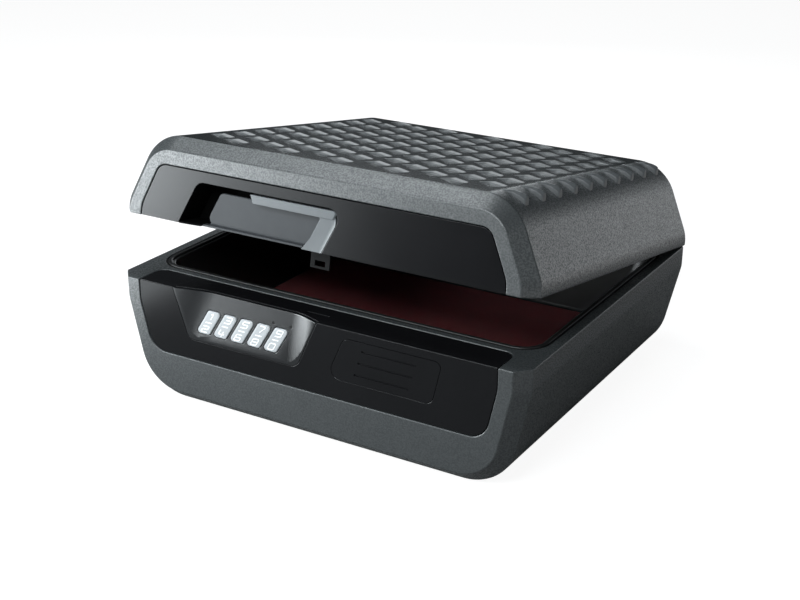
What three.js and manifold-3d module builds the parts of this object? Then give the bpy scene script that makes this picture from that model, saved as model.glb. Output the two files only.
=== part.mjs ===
// A fire and water resistant security chest with a five-key digital lock, photographed with its lid ajar.
// Millimetres, +Z up. X runs along the width, the front is at -Y, and the origin is the bottom centre of the base.

import * as THREE from 'three';
import { mergeVertices } from 'three/addons/utils/BufferGeometryUtils.js';
import Module from 'manifold-3d';

const wasm = await Module();
wasm.setup();

// Driving sizes of the whole chest
const WIDTH = 390;
const DEPTH = 318;
const BASE_HEIGHT = 107;
const LID_HEIGHT = 70;
const PARTING_GAP = 0.6;
const LID_AJAR_DEGREES = 10.1;
const GAP = 0.3;
const SHELL_WALL = 4;
const BEND_RADIUS = 30;

// Base shell: straight band under the rim, then sides that draw in to the foot
const BASE_STRAIGHT = 18.4;
const BASE_DRAFT = 0.227;
const FOOT_RADIUS = 46;
const RIM_THICKNESS = 5.5;
const RIM_SIDE = 9;
const RIM_FRONT = 37;
const RIM_BACK = 19;
const RIM_CORNER_RADIUS = 25;

// Lid shell
const LID_STRAIGHT = 9;
const LID_DRAFT = 0.468;
const SHOULDER_RADIUS = 40;

// Front frame: a chamfer all round, then a flat frame round each black panel
const CHAMFER_DEPTH = 12;
const CHAMFER_SIDE = 11;
const CHAMFER_FOOT = 10;
const CHAMFER_TOP = 11;
const BASE_FRAME_RADIUS = 38;
const LID_FRAME_RADIUS = 28;
const FRAME_WIDTH = 12.5;
const FRONT_WALL = 7.5;
const PANEL_RECESS = 0.5;
const PANEL_THICKNESS = 4;
const PANEL_SEAT = 5;
const BASE_PANEL_HEIGHT = 62;
const BASE_PANEL_RADIUS = 18;
const LID_PANEL_DROP = 23.8;
const LID_PANEL_RADIUS = 11.5;
const BACK_EDGE_BREAK = 1.5;

// Ledge: the top of the base panel, folded back over the rim
const LEDGE_DEPTH = 30.5;
const LEDGE_THICKNESS = 2.3;
const LEDGE_DROP = 0.2;
const LEDGE_CORNER_RADIUS = 9;
const LOCK_BAY_DEPTH = 30.3;

// Storage tub
const BEAD_GROOVE = 2;
const BEAD_GROOVE_DEPTH = 1.5;
const BEAD_WIDTH = 3.5;
const BEAD_PROUD = 0.5;
const TUB_LIP = 2.5;
const TUB_WALL = 2;
const TUB_FLOOR_HEIGHT = 38;
const TUB_DRAW_IN = 14;
const FLOOR_MAT_THICKNESS = 1.5;
const LID_TUB_DEPTH = 46;

// Lid liner, with the gasket that meets the bead
const LID_FLANGE_LIFT = 1.6;
const LID_FLANGE_THICKNESS = 2.4;
const GASKET_THICKNESS = 2;
const GASKET_SPREAD = 1;

// Hinges
const HINGE_AXIS_IN = 4.7;
const HINGE_AXIS_DROP = 19.3;
const HINGE_SPACING = 220;
const HINGE_POCKET_WIDTH = 38;
const HINGE_WALL = 3;
const LUG_RADIUS = 4.4;
const LUG_WIDTH = 13;
const PIN_RADIUS = 2;

// Keypad: a dished bezel that leans back, with five slanted keys
const KEYPAD_DROP = 43.5;
const KEYPAD_SETBACK = 7.5;
const KEYPAD_LEFT = -120.6;
const KEYPAD_RIGHT = -10.4;
const KEYPAD_LEFT_LEAN = 0.333;
const KEYPAD_RIGHT_LEAN = 0.473;
const KEYPAD_LEFT_SLOPE_WIDTH = 31;
const KEYPAD_RIGHT_SLOPE_WIDTH = 20;
const KEYPAD_LEFT_RADIUS = 8;
const KEYPAD_RIGHT_RADIUS = 10;
const DISH_REACH = 8;
const BEZEL_WALL = 2.2;
const KEY_COUNT = 5;
const KEY_PITCH = 17.1;
const KEY_WIDTH = 13.8;
const KEY_HEIGHT = 21;
const KEY_LEAN = 0.55;
const KEY_CORNER_RADIUS = 2.6;
const KEY_PROUD = 1;
const KEY_FLANGE = 1.2;
const KEY_FLANGE_THICKNESS = 0.8;
const KEY_TRAVEL = 1;
const KEYS_MIDDLE_X = -65.8;
const KEYS_MIDDLE_UP = 18.3;
const MAT_THICKNESS = 0.8;
const BOARD_THICKNESS = 1.6;
const LED_SPACING = 17;
const LED_LEFT_X = -35;
const LED_UP = 32;
const LED_RADIUS = 1.1;
const LED_SETBACK = 0.3;
const DOME_RADIUS = 4;
const MAT_MARGIN = 1;
const BOARD_MARGIN = 1;
const BOARD_RIGHT_MARGIN = 6;
const BOARD_FOOT_MARGIN = 7;
const BOARD_TOP_MARGIN = 4;
const POST_RADIUS = 2;
const POST_IN = 3;
const POST_UP = 2.5;
const UPPER_POST_IN = 12;
const BOARD_SCREW_RADIUS = 1;
const BOARD_SCREW_HEAD_RADIUS = 1.9;
const BOARD_SCREW_HEAD = 1.2;

// Battery bay
const COVER_DROP = 7.5;
const COVER_HEIGHT = 37;
const COVER_WIDTH = 96.5;
const COVER_RIGHT_IN = 79.5;
const COVER_LEFT_LEAN = 0.47;
const COVER_RIGHT_LEAN = 0.24;
const COVER_FOOT_RADIUS = 8;
const COVER_TOP_RADIUS = 5;
const COVER_THICKNESS = 2.2;
const GROOVE_COUNT = 3;
const GROOVE_PITCH = 10.75;
const GROOVE_LENGTH = 50;
const GROOVE_WIDTH = 1.4;
const GROOVE_DEPTH = 0.8;
const GROOVE_LEAN = 0.337;
const COVER_RIM_WALL = 1.4;
const COVER_RIM_PLAY = 0.5;
const TRAY_SHIFT = 2.5;
const CELL_RADIUS = 5.25;
const CELL_LENGTH = 44.5;
const CELL_NUB = 0.8;
const CELL_NUB_RADIUS = 1.9;
const CELL_ROW_PITCH = 11.8;
const CELL_LAYER_PITCH = 10.9;
const CONTACT_SPRING_LENGTH = 6;
const CONTACT_PLATE = 0.5;
const CONTACT_HALF_WIDTH = 4;
const CONTACT_END_PLAY = 1;
const CONTACT_SPRING_RADIUS = 2.6;
const CONTACT_SPRING_TURNS = 3;
const CONTACT_WIRE = 0.45;
const TRAY_WALL = 2;

// Lock: a blade on the lid drops through a slot in the ledge, and a bolt runs through its window
const SLOT_MIDDLE_X = 1;
const SLOT_SETBACK = 15.6;
const SLOT_LENGTH = 22;
const SLOT_WIDTH = 3.4;
const BLADE_WIDTH = 18;
const BLADE_THICKNESS = 1.6;
const BLADE_TIP_STRIP = 1.9;
const BLADE_WINDOW_WIDTH = 10;
const BLADE_WINDOW_HEIGHT = 4.6;
const STRIKE_PLATE = 1.6;
const STRIKE_FOOT_DEPTH = 13;
const STRIKE_FOOT_SPREAD = 2;
const STRIKE_SCREW_SPACING = 10;
const STRIKE_SCREW_IN = 5;
const STRIKE_SCREW_RADIUS = 1.2;
const STRIKE_SCREW_HEAD_RADIUS = 2.2;
const STRIKE_SCREW_SUNK = 0.1;
const BOLT_WIDTH = 8;
const BOLT_HEIGHT = 4;
const BOLT_LENGTH = 5.5;
const BOLT_TRAVEL = 5.5;
const PLUNGER_RADIUS = 1.8;
const COIL_SIZE = 9.4;
const COIL_LENGTH = 10.5;
const LOCK_CASE_WIDTH = 28;
const LOCK_CASE_HEIGHT = 13;
const LOCK_CASE_WALL = 1.5;
const LOCK_AXIS_LIFT = 1.5;
const LOCK_CLEARANCE = 0.5;
const PLUNGER_TAIL_SPACE = 4;
const LEAD_RADIUS = 0.9;
const LEAD_UP = 4;
const LEAD_BEHIND = 5;
const LEAD_WALL_SPACE = 4;
const KEYPAD_LEAD_IN = 10;
const KEYPAD_LEAD_UP = 12;

// Pull recess in the lid panel, with its grip plate and its bright trim
const PULL_LEFT = -132.2;
const PULL_RIGHT = 10.6;
const PULL_HEIGHT = 37;
const PULL_LEFT_LEAN = 0.498;
const PULL_RIGHT_LEAN = 0.478;
const PULL_LEFT_RADIUS = 10;
const PULL_RIGHT_RADIUS = 8.5;
const PULL_DEPTH = 28;
const PULL_DEEP_RIGHT = -14;
const CUP_WALL = 2;
const CUP_SHELF_WALL = 1.5;
const BOSS_RADIUS = 4;
const BOSS_SHARES = [0.22, 0.72];
const PLATE_SETBACK = 9;
const PLATE_THICKNESS = 3;
const PLATE_LEFT_SPACE = 21;
const PLATE_TOP_SPACE = 7;
const PLATE_FOOT_SPACE = 2;
const PLATE_RADIUS = 6;
const LIP_LOW = 0.4;
const LIP_HIGH = 2.3;
const LIP_FRONT = 5.5;
const LIP_RIGHT = -11;
const CUP_FLOOR_GAP = 0.4;
const CUP_FLOOR_LENGTH = 20.4;
const CUP_FLOOR_START = 0.8;
const CUP_FLOOR_END = 4.2;
const CUP_FLOOR_HEIGHT = 1.6;
const TRIM_GAP = 0.6;
const TRIM_TOP_GAP = 1.6;
const TRIM_CORNER_RADIUS = 12.5;
const TRIM_STRIP = 7;
const TRIM_LEG = 16.6;
const TRIM_LENGTH = 88;
const TRIM_DEPTH = 6;

// Raised lozenges on the lid top
const LOZENGE_COLUMN_PITCH = 25.7;
const LOZENGE_ROW_PITCH = 29.6;
const LOZENGE_FIRST_ROW = 33;
const LOZENGE_COLUMNS_LEFT = 5;
const LOZENGE_COLUMNS_RIGHT = 5;
const LOZENGE_LENGTH = 23;
const LOZENGE_WIDTH = 11;
const LOZENGE_HEIGHT = 2.2;
const LOZENGE_END = 0.42;
const LOZENGE_CREST = 0.8;
const LOZENGE_FEET = [0, 0, 0];
const LOZENGE_ROOTS = [-2.2, -2.2, -2.2];
const FIN_HEIGHT = 1.1;
const FIN_FEET = [-0.1, 0.6, -3.6];
const FIN_ROOTS = [-2.2, -5, -10.7];

// Places worked out from the sizes
const FRONT = -DEPTH / 2;
const BACK = DEPTH / 2;
const HALF = WIDTH / 2;
const BASE_PANEL_FOOT = BASE_HEIGHT - BASE_PANEL_HEIGHT;
const KEYPAD_FOOT = BASE_HEIGHT - KEYPAD_DROP;
const COVER_TOP = BASE_HEIGHT - COVER_DROP;
const COVER_FOOT = COVER_TOP - COVER_HEIGHT;
const COVER_RIGHT = HALF - COVER_RIGHT_IN;
const COVER_LEFT = COVER_RIGHT - COVER_WIDTH;
const PANEL_FRONT = FRONT + PANEL_RECESS;
const PANEL_BACK = PANEL_FRONT + PANEL_THICKNESS;
const BAY_BACK = FRONT + LOCK_BAY_DEPTH;
const LEDGE_TOP = BASE_HEIGHT - LEDGE_DROP;
const LEDGE_UNDER = LEDGE_TOP - LEDGE_THICKNESS;
const RIM_UNDER = BASE_HEIGHT - RIM_THICKNESS;
const PANEL_INSET = CHAMFER_SIDE + FRAME_WIDTH;
const AXIS_Y = BACK - HINGE_AXIS_IN;
const AXIS_Z = BASE_HEIGHT - HINGE_AXIS_DROP;
const SLOT_Y = FRONT + SLOT_SETBACK;
const FAR = 20;

const BEND_STEPS = 3;
const CORNER_STEPS = 10;
const ROUND_STEPS = 6;

// Solids from outlines

// An outline is a list of corners [a, b, radius, steps]; this gives its points with the corners rounded.
function rounded(corners) {
  const points = [];
  const count = corners.length;
  corners.forEach(([a, b, radius = 0, steps = ROUND_STEPS], i) => {
    const corner = new THREE.Vector2(a, b);
    const before = new THREE.Vector2(...corners[(i + count - 1) % count].slice(0, 2)).sub(corner);
    const after = new THREE.Vector2(...corners[(i + 1) % count].slice(0, 2)).sub(corner);
    const turn = Math.PI - Math.acos(before.dot(after) / (before.length() * after.length()));
    if (radius <= 0 || turn < 1e-6) {
      points.push(corner);
      return;
    }
    const share = (neighbour) => ((neighbour[2] ?? 0) > 0 ? 0.49 : 0.98);
    const room = Math.min(before.length() * share(corners[(i + count - 1) % count]),
      after.length() * share(corners[(i + 1) % count]));
    const run = Math.min(radius * Math.tan(turn / 2), room);
    const fitted = run / Math.tan(turn / 2);
    const start = corner.clone().addScaledVector(before.normalize(), run);
    const inward = before.clone().add(after.clone().normalize()).normalize();
    const centre = corner.clone().addScaledVector(inward, fitted / Math.cos(turn / 2));
    const first = start.clone().sub(centre);
    const way = Math.sign(first.cross(corner.clone().sub(centre)));
    for (let k = 0; k <= steps; k += 1) {
      const spin = way * turn * (k / steps);
      points.push(first.clone().rotateAround(new THREE.Vector2(), spin).add(centre));
    }
  });
  return points;
}

// Moves every side of an outline outward by a distance, and its corner radii with it.
function grown(corners, distance) {
  const count = corners.length;
  let area = 0;
  corners.forEach(([a, b], i) => {
    const [c, d] = corners[(i + 1) % count];
    area += a * d - c * b;
  });
  const side = Math.sign(area);
  const outward = (from, to) => new THREE.Vector2(to[1] - from[1], from[0] - to[0]).normalize().multiplyScalar(side);
  return corners.map((corner, i) => {
    const one = outward(corners[(i + count - 1) % count], corner);
    const two = outward(corner, corners[(i + 1) % count]);
    const step = distance / (1 + one.dot(two));
    const [a, b, radius = 0, steps = ROUND_STEPS] = corner;
    const bulges = one.cross(two) * side > 0;
    const wider = radius > 0 ? Math.max(radius + (bulges ? distance : -distance), 0.1) : 0;
    return [a + step * (one.x + two.x), b + step * (one.y + two.y), wider, steps];
  });
}

// A closed body through rings of equally many points, capped at both ends.
function loft(rings) {
  const count = rings[0].length;
  const positions = rings.flat().flatMap((point) => [point.x, point.y, point.z]);
  const index = [];
  for (let ring = 0; ring < rings.length - 1; ring += 1) {
    for (let i = 0; i < count; i += 1) {
      const a = ring * count + i;
      const b = ring * count + ((i + 1) % count);
      index.push(a, b, b + count, a, b + count, a + count);
    }
  }
  const cap = (ring, flip) => {
    const normal = new THREE.Vector3();
    ring.forEach((point, i) => normal.add(point.clone().cross(ring[(i + 1) % count])));
    const spin = new THREE.Quaternion().setFromUnitVectors(normal.normalize(), new THREE.Vector3(0, 0, 1));
    const flat = ring.map((point) => point.clone().applyQuaternion(spin));
    const faces = THREE.ShapeUtils.triangulateShape(flat.map((point) => new THREE.Vector2(point.x, point.y)), []);
    return faces.map(([a, b, c]) => (flip ? [c, b, a] : [a, b, c]));
  };
  const start = (rings.length - 1) * count;
  cap(rings[0], true).forEach((face) => index.push(...face));
  cap(rings[rings.length - 1], false).forEach(([a, b, c]) => index.push(a + start, b + start, c + start));
  const geometry = new THREE.BufferGeometry();
  geometry.setAttribute('position', new THREE.Float32BufferAttribute(positions, 3));
  geometry.setIndex(index);
  return solid(geometry);
}

function signedVolume(positions, index) {
  let volume = 0;
  const corner = (i) => new THREE.Vector3().fromArray(positions, 3 * index[i]);
  for (let i = 0; i < index.length; i += 3) {
    volume += corner(i).dot(corner(i + 1).cross(corner(i + 2))) / 6;
  }
  return volume;
}

// A solid that can be joined and cut, from a closed three.js geometry.
function solid(geometry) {
  const bare = geometry.clone();
  bare.deleteAttribute('normal');
  bare.deleteAttribute('uv');
  const merged = mergeVertices(bare, 1e-4);
  const vertProperties = merged.attributes.position.array;
  let triVerts = Uint32Array.from(merged.index.array);
  if (signedVolume(vertProperties, triVerts) < 0) {
    triVerts = triVerts.map((_, i) => merged.index.array[i - (i % 3) + (2 - (i % 3))]);
  }
  return new wasm.Manifold(new wasm.Mesh({ numProp: 3, vertProperties, triVerts }));
}

function geometryOf(body) {
  const mesh = body.getMesh();
  const geometry = new THREE.BufferGeometry();
  geometry.setAttribute('position', new THREE.Float32BufferAttribute(mesh.vertProperties, 3));
  geometry.setIndex(Array.from(mesh.triVerts));
  const faceted = geometry.toNonIndexed();
  faceted.computeVertexNormals();
  return faceted;
}

const join = (first, ...others) => others.reduce((body, other) => body.add(other), first);
const cut = (first, ...others) => others.reduce((body, other) => body.subtract(other), first);

// Slabs: an outline in XZ run along Y, one in XY run along Z, and one in YZ run along X.
const ringY = (corners, y) => rounded(corners).map((point) => new THREE.Vector3(point.x, y, point.y));
const ringZ = (corners, z) => rounded(corners).map((point) => new THREE.Vector3(point.x, point.y, z));
const ringX = (corners, x) => rounded(corners).map((point) => new THREE.Vector3(x, point.x, point.y));
const slabY = (corners, from, to) => loft([ringY(corners, from), ringY(corners, to)]);
const slabZ = (corners, from, to) => loft([ringZ(corners, from), ringZ(corners, to)]);
const slabX = (corners, from, to) => loft([ringX(corners, from), ringX(corners, to)]);

function box(x0, x1, y0, y1, z0, z1) {
  const geometry = new THREE.BoxGeometry(x1 - x0, y1 - y0, z1 - z0);
  return solid(geometry.translate((x0 + x1) / 2, (y0 + y1) / 2, (z0 + z1) / 2));
}

// A round bar from one point to another.
function bar(from, to, radius, sides = 20) {
  const start = new THREE.Vector3(...from);
  const run = new THREE.Vector3(...to).sub(start);
  const geometry = new THREE.CylinderGeometry(radius, radius, run.length(), sides);
  const turn = new THREE.Quaternion().setFromUnitVectors(new THREE.Vector3(0, 1, 0), run.clone().normalize());
  return solid(geometry.applyQuaternion(turn).translate(...start.addScaledVector(run, 0.5).toArray()));
}

// A turned piece: a profile of [radius, height] points on its axis, which runs from a place along a direction.
function turned(profile, place, along, sides = 16) {
  const geometry = new THREE.LatheGeometry(profile.map(([r, h]) => new THREE.Vector2(r, h)), sides);
  const turn = new THREE.Quaternion().setFromUnitVectors(new THREE.Vector3(0, 1, 0), new THREE.Vector3(...along));
  return solid(geometry.applyQuaternion(turn).translate(...place));
}

// Places a body made in a tilted frame.
function placed(body, matrix) {
  return solid(geometryOf(body).applyMatrix4(matrix));
}

const group = new THREE.Group();
const lid = new THREE.Group();

function add(parent, name, body, colour, roughness, metalness = 0) {
  const material = new THREE.MeshStandardMaterial({ color: colour, roughness, metalness });
  const mesh = new THREE.Mesh(geometryOf(body), material);
  mesh.name = name;
  parent.add(mesh);
}

const CHARCOAL = 0x4b4e50;
const DARK_GREY = 0x3a3d3f;
const BLACK = 0x141516;
const SATIN_GREY = 0x777a7d;
const BRIGHT_GREY = 0xa9adb0;
const KEY_GREY = 0xc9cccf;
const FELT_RED = 0x5a0c10;
const RUBBER = 0x1b1b1c;
const STONE = 0xc8c2b4;
const STEEL = 0xb0b4b8;
const BOARD_GREEN = 0x1f5a38;

// Outlines that several pieces share

// The section of a shell across its width, from the parting plane to the foot or the top.
function shellOutline(shell, sideInset, endInset, corner, start = 0) {
  const half = HALF - sideInset;
  const height = shell.height - endInset;
  const end = half - shell.draft * (height - shell.straight);
  const z = (rise) => shell.rim + shell.way * rise;
  const right = [
    [half, z(start)],
    [half, z(shell.straight), BEND_RADIUS, BEND_STEPS],
    [end, z(height), corner, CORNER_STEPS],
  ];
  const left = right.map(([x, ...rest]) => [-x, ...rest]).reverse();
  return [...right, ...left];
}

const BASE = { rim: BASE_HEIGHT, way: -1, height: BASE_HEIGHT, straight: BASE_STRAIGHT, draft: BASE_DRAFT };
const LID = { rim: 0, way: 1, height: LID_HEIGHT, straight: LID_STRAIGHT, draft: LID_DRAFT };

function outerBody(shell, endChamfer, frameRadius, corner) {
  return loft([
    ringY(shellOutline(shell, CHAMFER_SIDE, endChamfer, frameRadius), FRONT),
    ringY(shellOutline(shell, 0, 0, corner), FRONT + CHAMFER_DEPTH),
    ringY(shellOutline(shell, 0, 0, corner), BACK - BACK_EDGE_BREAK),
    ringY(shellOutline(shell, BACK_EDGE_BREAK, BACK_EDGE_BREAK, corner - BACK_EDGE_BREAK), BACK),
  ]);
}

// The hollow inside a shell, clear of its walls by a further inset.
function hollow(shell, endChamfer, corner, start, inset = 0) {
  const wall = SHELL_WALL + inset;
  const front = FRONT + FRONT_WALL + inset;
  const slope = (reach) => (
    reach * (1 - (front - FRONT) / CHAMFER_DEPTH) + wall * Math.hypot(reach, CHAMFER_DEPTH) / CHAMFER_DEPTH
  );
  const straightFrom = FRONT + CHAMFER_DEPTH + SHELL_WALL / 2 + inset;
  const inner = shellOutline(shell, wall, wall, corner - wall, start);
  return loft([
    ringY(shellOutline(shell, slope(CHAMFER_SIDE), slope(endChamfer), corner - wall, start), front),
    ringY(inner, straightFrom),
    ringY(inner, BACK - wall),
  ]);
}

// The rim opening in plan, drawn in by an inset.
function rimPlan(inset, radius = RIM_CORNER_RADIUS - inset) {
  const x = HALF - RIM_SIDE - inset;
  const front = FRONT + RIM_FRONT + inset;
  const back = BACK - RIM_BACK - inset;
  return [[x, front, radius], [x, back, radius], [-x, back, radius], [-x, front, radius]];
}

const TUB_INSET = BEAD_GROOVE + BEAD_WIDTH + TUB_LIP;
const tubTop = (inset) => rimPlan(TUB_INSET + inset);
const tubBottom = (inset) => rimPlan(TUB_INSET + TUB_DRAW_IN + inset, RIM_CORNER_RADIUS - TUB_INSET - inset);

const panelOutline = (shell, endInset, radius, inset = 0, start = 0) => (
  shellOutline(shell, PANEL_INSET + inset, endInset + inset, radius - inset, start)
);

const ledgePlan = [
  [HALF - PANEL_INSET, PANEL_FRONT],
  [HALF - PANEL_INSET, FRONT + LEDGE_DEPTH, LEDGE_CORNER_RADIUS],
  [-HALF + PANEL_INSET, FRONT + LEDGE_DEPTH, LEDGE_CORNER_RADIUS],
  [-HALF + PANEL_INSET, PANEL_FRONT],
];

// Hinge places
const hingeSides = [['left', -HINGE_SPACING / 2], ['right', HINGE_SPACING / 2]];
const POCKET_FLOOR = AXIS_Z - LUG_RADIUS - 1;
const POCKET_FRONT = AXIS_Y - LUG_RADIUS - HINGE_WALL;

function pocketBox(x, grow) {
  const half = HINGE_POCKET_WIDTH / 2 + grow;
  return box(x - half, x + half, POCKET_FRONT - grow, BACK, POCKET_FLOOR - grow, BASE_HEIGHT);
}

// Base shell
function baseShell() {
  const rimHole = slabZ(rimPlan(0), RIM_UNDER - 1, BASE_HEIGHT + 1);
  let body = cut(
    outerBody(BASE, CHAMFER_FOOT, BASE_FRAME_RADIUS, FOOT_RADIUS),
    hollow(BASE, CHAMFER_FOOT, FOOT_RADIUS, RIM_THICKNESS),
    rimHole,
    slabY(grown(panelOutline(BASE, BASE_PANEL_FOOT, BASE_PANEL_RADIUS), GAP), FRONT - 1, PANEL_BACK + GAP),
    slabZ(grown(ledgePlan, GAP), LEDGE_UNDER - GAP, BASE_HEIGHT + 1),
    slabY(panelOutline(BASE, BASE_PANEL_FOOT, BASE_PANEL_RADIUS, PANEL_SEAT, -1), FRONT - 1,
      FRONT + LEDGE_DEPTH - PANEL_SEAT),
  );
  hingeSides.forEach(([, x]) => {
    const half = HINGE_POCKET_WIDTH / 2;
    const walls = box(x - half - HINGE_WALL, x + half + HINGE_WALL, POCKET_FRONT - HINGE_WALL, BACK - 1,
      POCKET_FLOOR - HINGE_WALL, BASE_HEIGHT);
    const pocket = box(x - half, x + half, POCKET_FRONT, BACK + FAR, POCKET_FLOOR, BASE_HEIGHT + FAR);
    body = cut(join(body, walls), pocket);
    const reach = half + HINGE_WALL - 0.5;
    body = cut(body, bar([x - reach, AXIS_Y, AXIS_Z], [x + reach, AXIS_Y, AXIS_Z], PIN_RADIUS + GAP));
  });
  return body;
}

// The tub and its rim, with the ridge that the gasket meets
function baseLiner() {
  const flangeUnder = RIM_UNDER;
  const flange = slabZ(rimPlan(GAP), flangeUnder, BASE_HEIGHT - BEAD_GROOVE_DEPTH);
  const bead = slabZ(rimPlan(BEAD_GROOVE), flangeUnder, BASE_HEIGHT + BEAD_PROUD);
  const lip = slabZ(rimPlan(BEAD_GROOVE + BEAD_WIDTH), BASE_HEIGHT - BEAD_GROOVE_DEPTH, BASE_HEIGHT + FAR);
  const floor = TUB_FLOOR_HEIGHT;
  const outer = loft([ringZ(tubBottom(-TUB_WALL), floor - TUB_WALL), ringZ(tubTop(-TUB_WALL), flangeUnder + 1)]);
  const inner = loft([ringZ(tubBottom(0), floor), ringZ(tubTop(0), BASE_HEIGHT + 1)]);
  return cut(join(flange, bead, outer), lip, inner);
}

const outsideOfTub = () => loft([
  ringZ(tubBottom(-TUB_WALL - GAP), TUB_FLOOR_HEIGHT - TUB_WALL - GAP),
  ringZ(tubTop(-TUB_WALL - GAP), RIM_UNDER + 1),
]);

// Lock places
const LOCK_CASE_TOP = RIM_UNDER - GAP;
const LOCK_CASE_FLOOR = LOCK_CASE_TOP - LOCK_CASE_HEIGHT;
const LOCK_AXIS_Z = (LOCK_CASE_TOP + LOCK_CASE_FLOOR) / 2 + LOCK_AXIS_LIFT;
const LOCK_CASE_LEFT = SLOT_MIDDLE_X - LOCK_CASE_WIDTH / 2;
const LOCK_CASE_RIGHT = SLOT_MIDDLE_X + LOCK_CASE_WIDTH / 2;
const BOLT_TIP = SLOT_Y + SLOT_WIDTH / 2 + LOCK_CLEARANCE;
const COIL_FRONT = BOLT_TIP + BOLT_LENGTH + LOCK_CLEARANCE;
const COIL_BACK = COIL_FRONT + COIL_LENGTH;
const LOCK_CASE_FRONT = SLOT_Y - SLOT_WIDTH / 2 - 2 * LOCK_CASE_WALL - 2 * LOCK_CLEARANCE;
const LOCK_CASE_BACK = COIL_BACK + GAP + LOCK_CASE_WALL;

function baseInsulation() {
  const block = hollow(BASE, CHAMFER_FOOT, FOOT_RADIUS, RIM_THICKNESS + GAP, GAP);
  const bayHalf = HALF - PANEL_INSET - PANEL_SEAT;
  const bay = box(-bayHalf, bayHalf, FRONT, BAY_BACK, BASE_PANEL_FOOT + PANEL_SEAT, BASE_HEIGHT);
  const lockPocket = box(LOCK_CASE_LEFT - GAP, LOCK_CASE_RIGHT + GAP, BAY_BACK - 1, LOCK_CASE_BACK + GAP,
    LOCK_CASE_FLOOR - GAP, BASE_HEIGHT);
  return cut(block, outsideOfTub(), bay, lockPocket, ...hingeSides.map(([, x]) => pocketBox(x, HINGE_WALL + GAP)));
}

function floorMat() {
  const inset = GAP + 1;
  return slabZ(tubBottom(inset), TUB_FLOOR_HEIGHT + GAP, TUB_FLOOR_HEIGHT + GAP + FLOOR_MAT_THICKNESS);
}

// Keypad
const KEYPAD_RISE = LEDGE_TOP - KEYPAD_FOOT;
const KEYPAD_TILT = Math.atan(KEYPAD_SETBACK / KEYPAD_RISE);
const keypadLeft = (z) => KEYPAD_LEFT - KEYPAD_LEFT_LEAN * (z - KEYPAD_FOOT);
const keypadRight = (z) => KEYPAD_RIGHT + KEYPAD_RIGHT_LEAN * (z - KEYPAD_FOOT);
const keypadOutline = [
  [keypadLeft(KEYPAD_FOOT), KEYPAD_FOOT, KEYPAD_LEFT_RADIUS],
  [keypadRight(KEYPAD_FOOT), KEYPAD_FOOT, KEYPAD_RIGHT_RADIUS],
  [keypadRight(LEDGE_TOP), LEDGE_TOP],
  [keypadLeft(LEDGE_TOP), LEDGE_TOP],
];

// The dish in front of the keypad: a leaning face with a shallow slope at each side.
function keypadDish(shift) {
  const leftSlope = KEYPAD_SETBACK / KEYPAD_LEFT_SLOPE_WIDTH;
  const rightSlope = KEYPAD_SETBACK / KEYPAD_RIGHT_SLOPE_WIDTH;
  const outside = -DISH_REACH;
  const ring = (z) => {
    const depth = (z - KEYPAD_FOOT) * Math.tan(KEYPAD_TILT);
    return [
      [keypadLeft(z) + outside / leftSlope, outside],
      [keypadRight(z) - outside / rightSlope, outside],
      [keypadRight(z) - depth / rightSlope, depth],
      [keypadLeft(z) + depth / leftSlope, depth],
    ].map(([x, y]) => new THREE.Vector3(x, FRONT + shift + y, z));
  };
  return loft([ring(KEYPAD_FOOT - FAR), ring(LEDGE_TOP + FAR / 4)]);
}

// A frame on the leaning face: x as before, y into the face, z up along it from the foot.
const keypadFrame = new THREE.Matrix4().makeRotationX(-KEYPAD_TILT).setPosition(0, FRONT, KEYPAD_FOOT);
const BEZEL_BACK = BEZEL_WALL * Math.cos(KEYPAD_TILT);
const FLANGE_FRONT = BEZEL_BACK + GAP;
const FLANGE_BACK = FLANGE_FRONT + KEY_FLANGE_THICKNESS;
const DOME_FRONT = FLANGE_BACK + KEY_TRAVEL + GAP;
const MAT_FRONT = DOME_FRONT + GAP;
const MAT_BACK = MAT_FRONT + MAT_THICKNESS;
const BOARD_FRONT = MAT_BACK + GAP;
const BOARD_BACK = BOARD_FRONT + BOARD_THICKNESS;
const keyPlaces = Array.from({ length: KEY_COUNT }, (_, i) => KEYS_MIDDLE_X + (i - (KEY_COUNT - 1) / 2) * KEY_PITCH);
const KEYS_SPAN = (KEY_COUNT - 1) * KEY_PITCH + KEY_WIDTH + KEY_LEAN * KEY_HEIGHT;
const BOARD_LEFT = KEYS_MIDDLE_X - KEYS_SPAN / 2 - BOARD_MARGIN;
const BOARD_RIGHT = Math.min(KEYS_MIDDLE_X + KEYS_SPAN / 2 + BOARD_RIGHT_MARGIN, LOCK_CASE_LEFT - BOARD_MARGIN);
const BOARD_LOW = KEYS_MIDDLE_UP - KEY_HEIGHT / 2 - BOARD_FOOT_MARGIN;
const BOARD_HIGH = LED_UP + BOARD_TOP_MARGIN;
const postPlaces = [
  [BOARD_LEFT + POST_IN, BOARD_LOW + POST_UP],
  [BOARD_RIGHT - POST_IN, BOARD_LOW + POST_UP],
  [BOARD_LEFT + UPPER_POST_IN, BOARD_HIGH - POST_UP],
  [LED_LEFT_X + LED_SPACING / 2, BOARD_HIGH - POST_UP],
];

function keyOutline(x) {
  const lean = KEY_LEAN * KEY_HEIGHT / 2;
  const low = KEYS_MIDDLE_UP - KEY_HEIGHT / 2;
  const high = KEYS_MIDDLE_UP + KEY_HEIGHT / 2;
  const half = KEY_WIDTH / 2;
  const r = KEY_CORNER_RADIUS;
  return [
    [x - half - lean, low, r],
    [x + half - lean, low, r],
    [x + half + lean, high, r],
    [x - half + lean, high, r],
  ];
}

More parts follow.
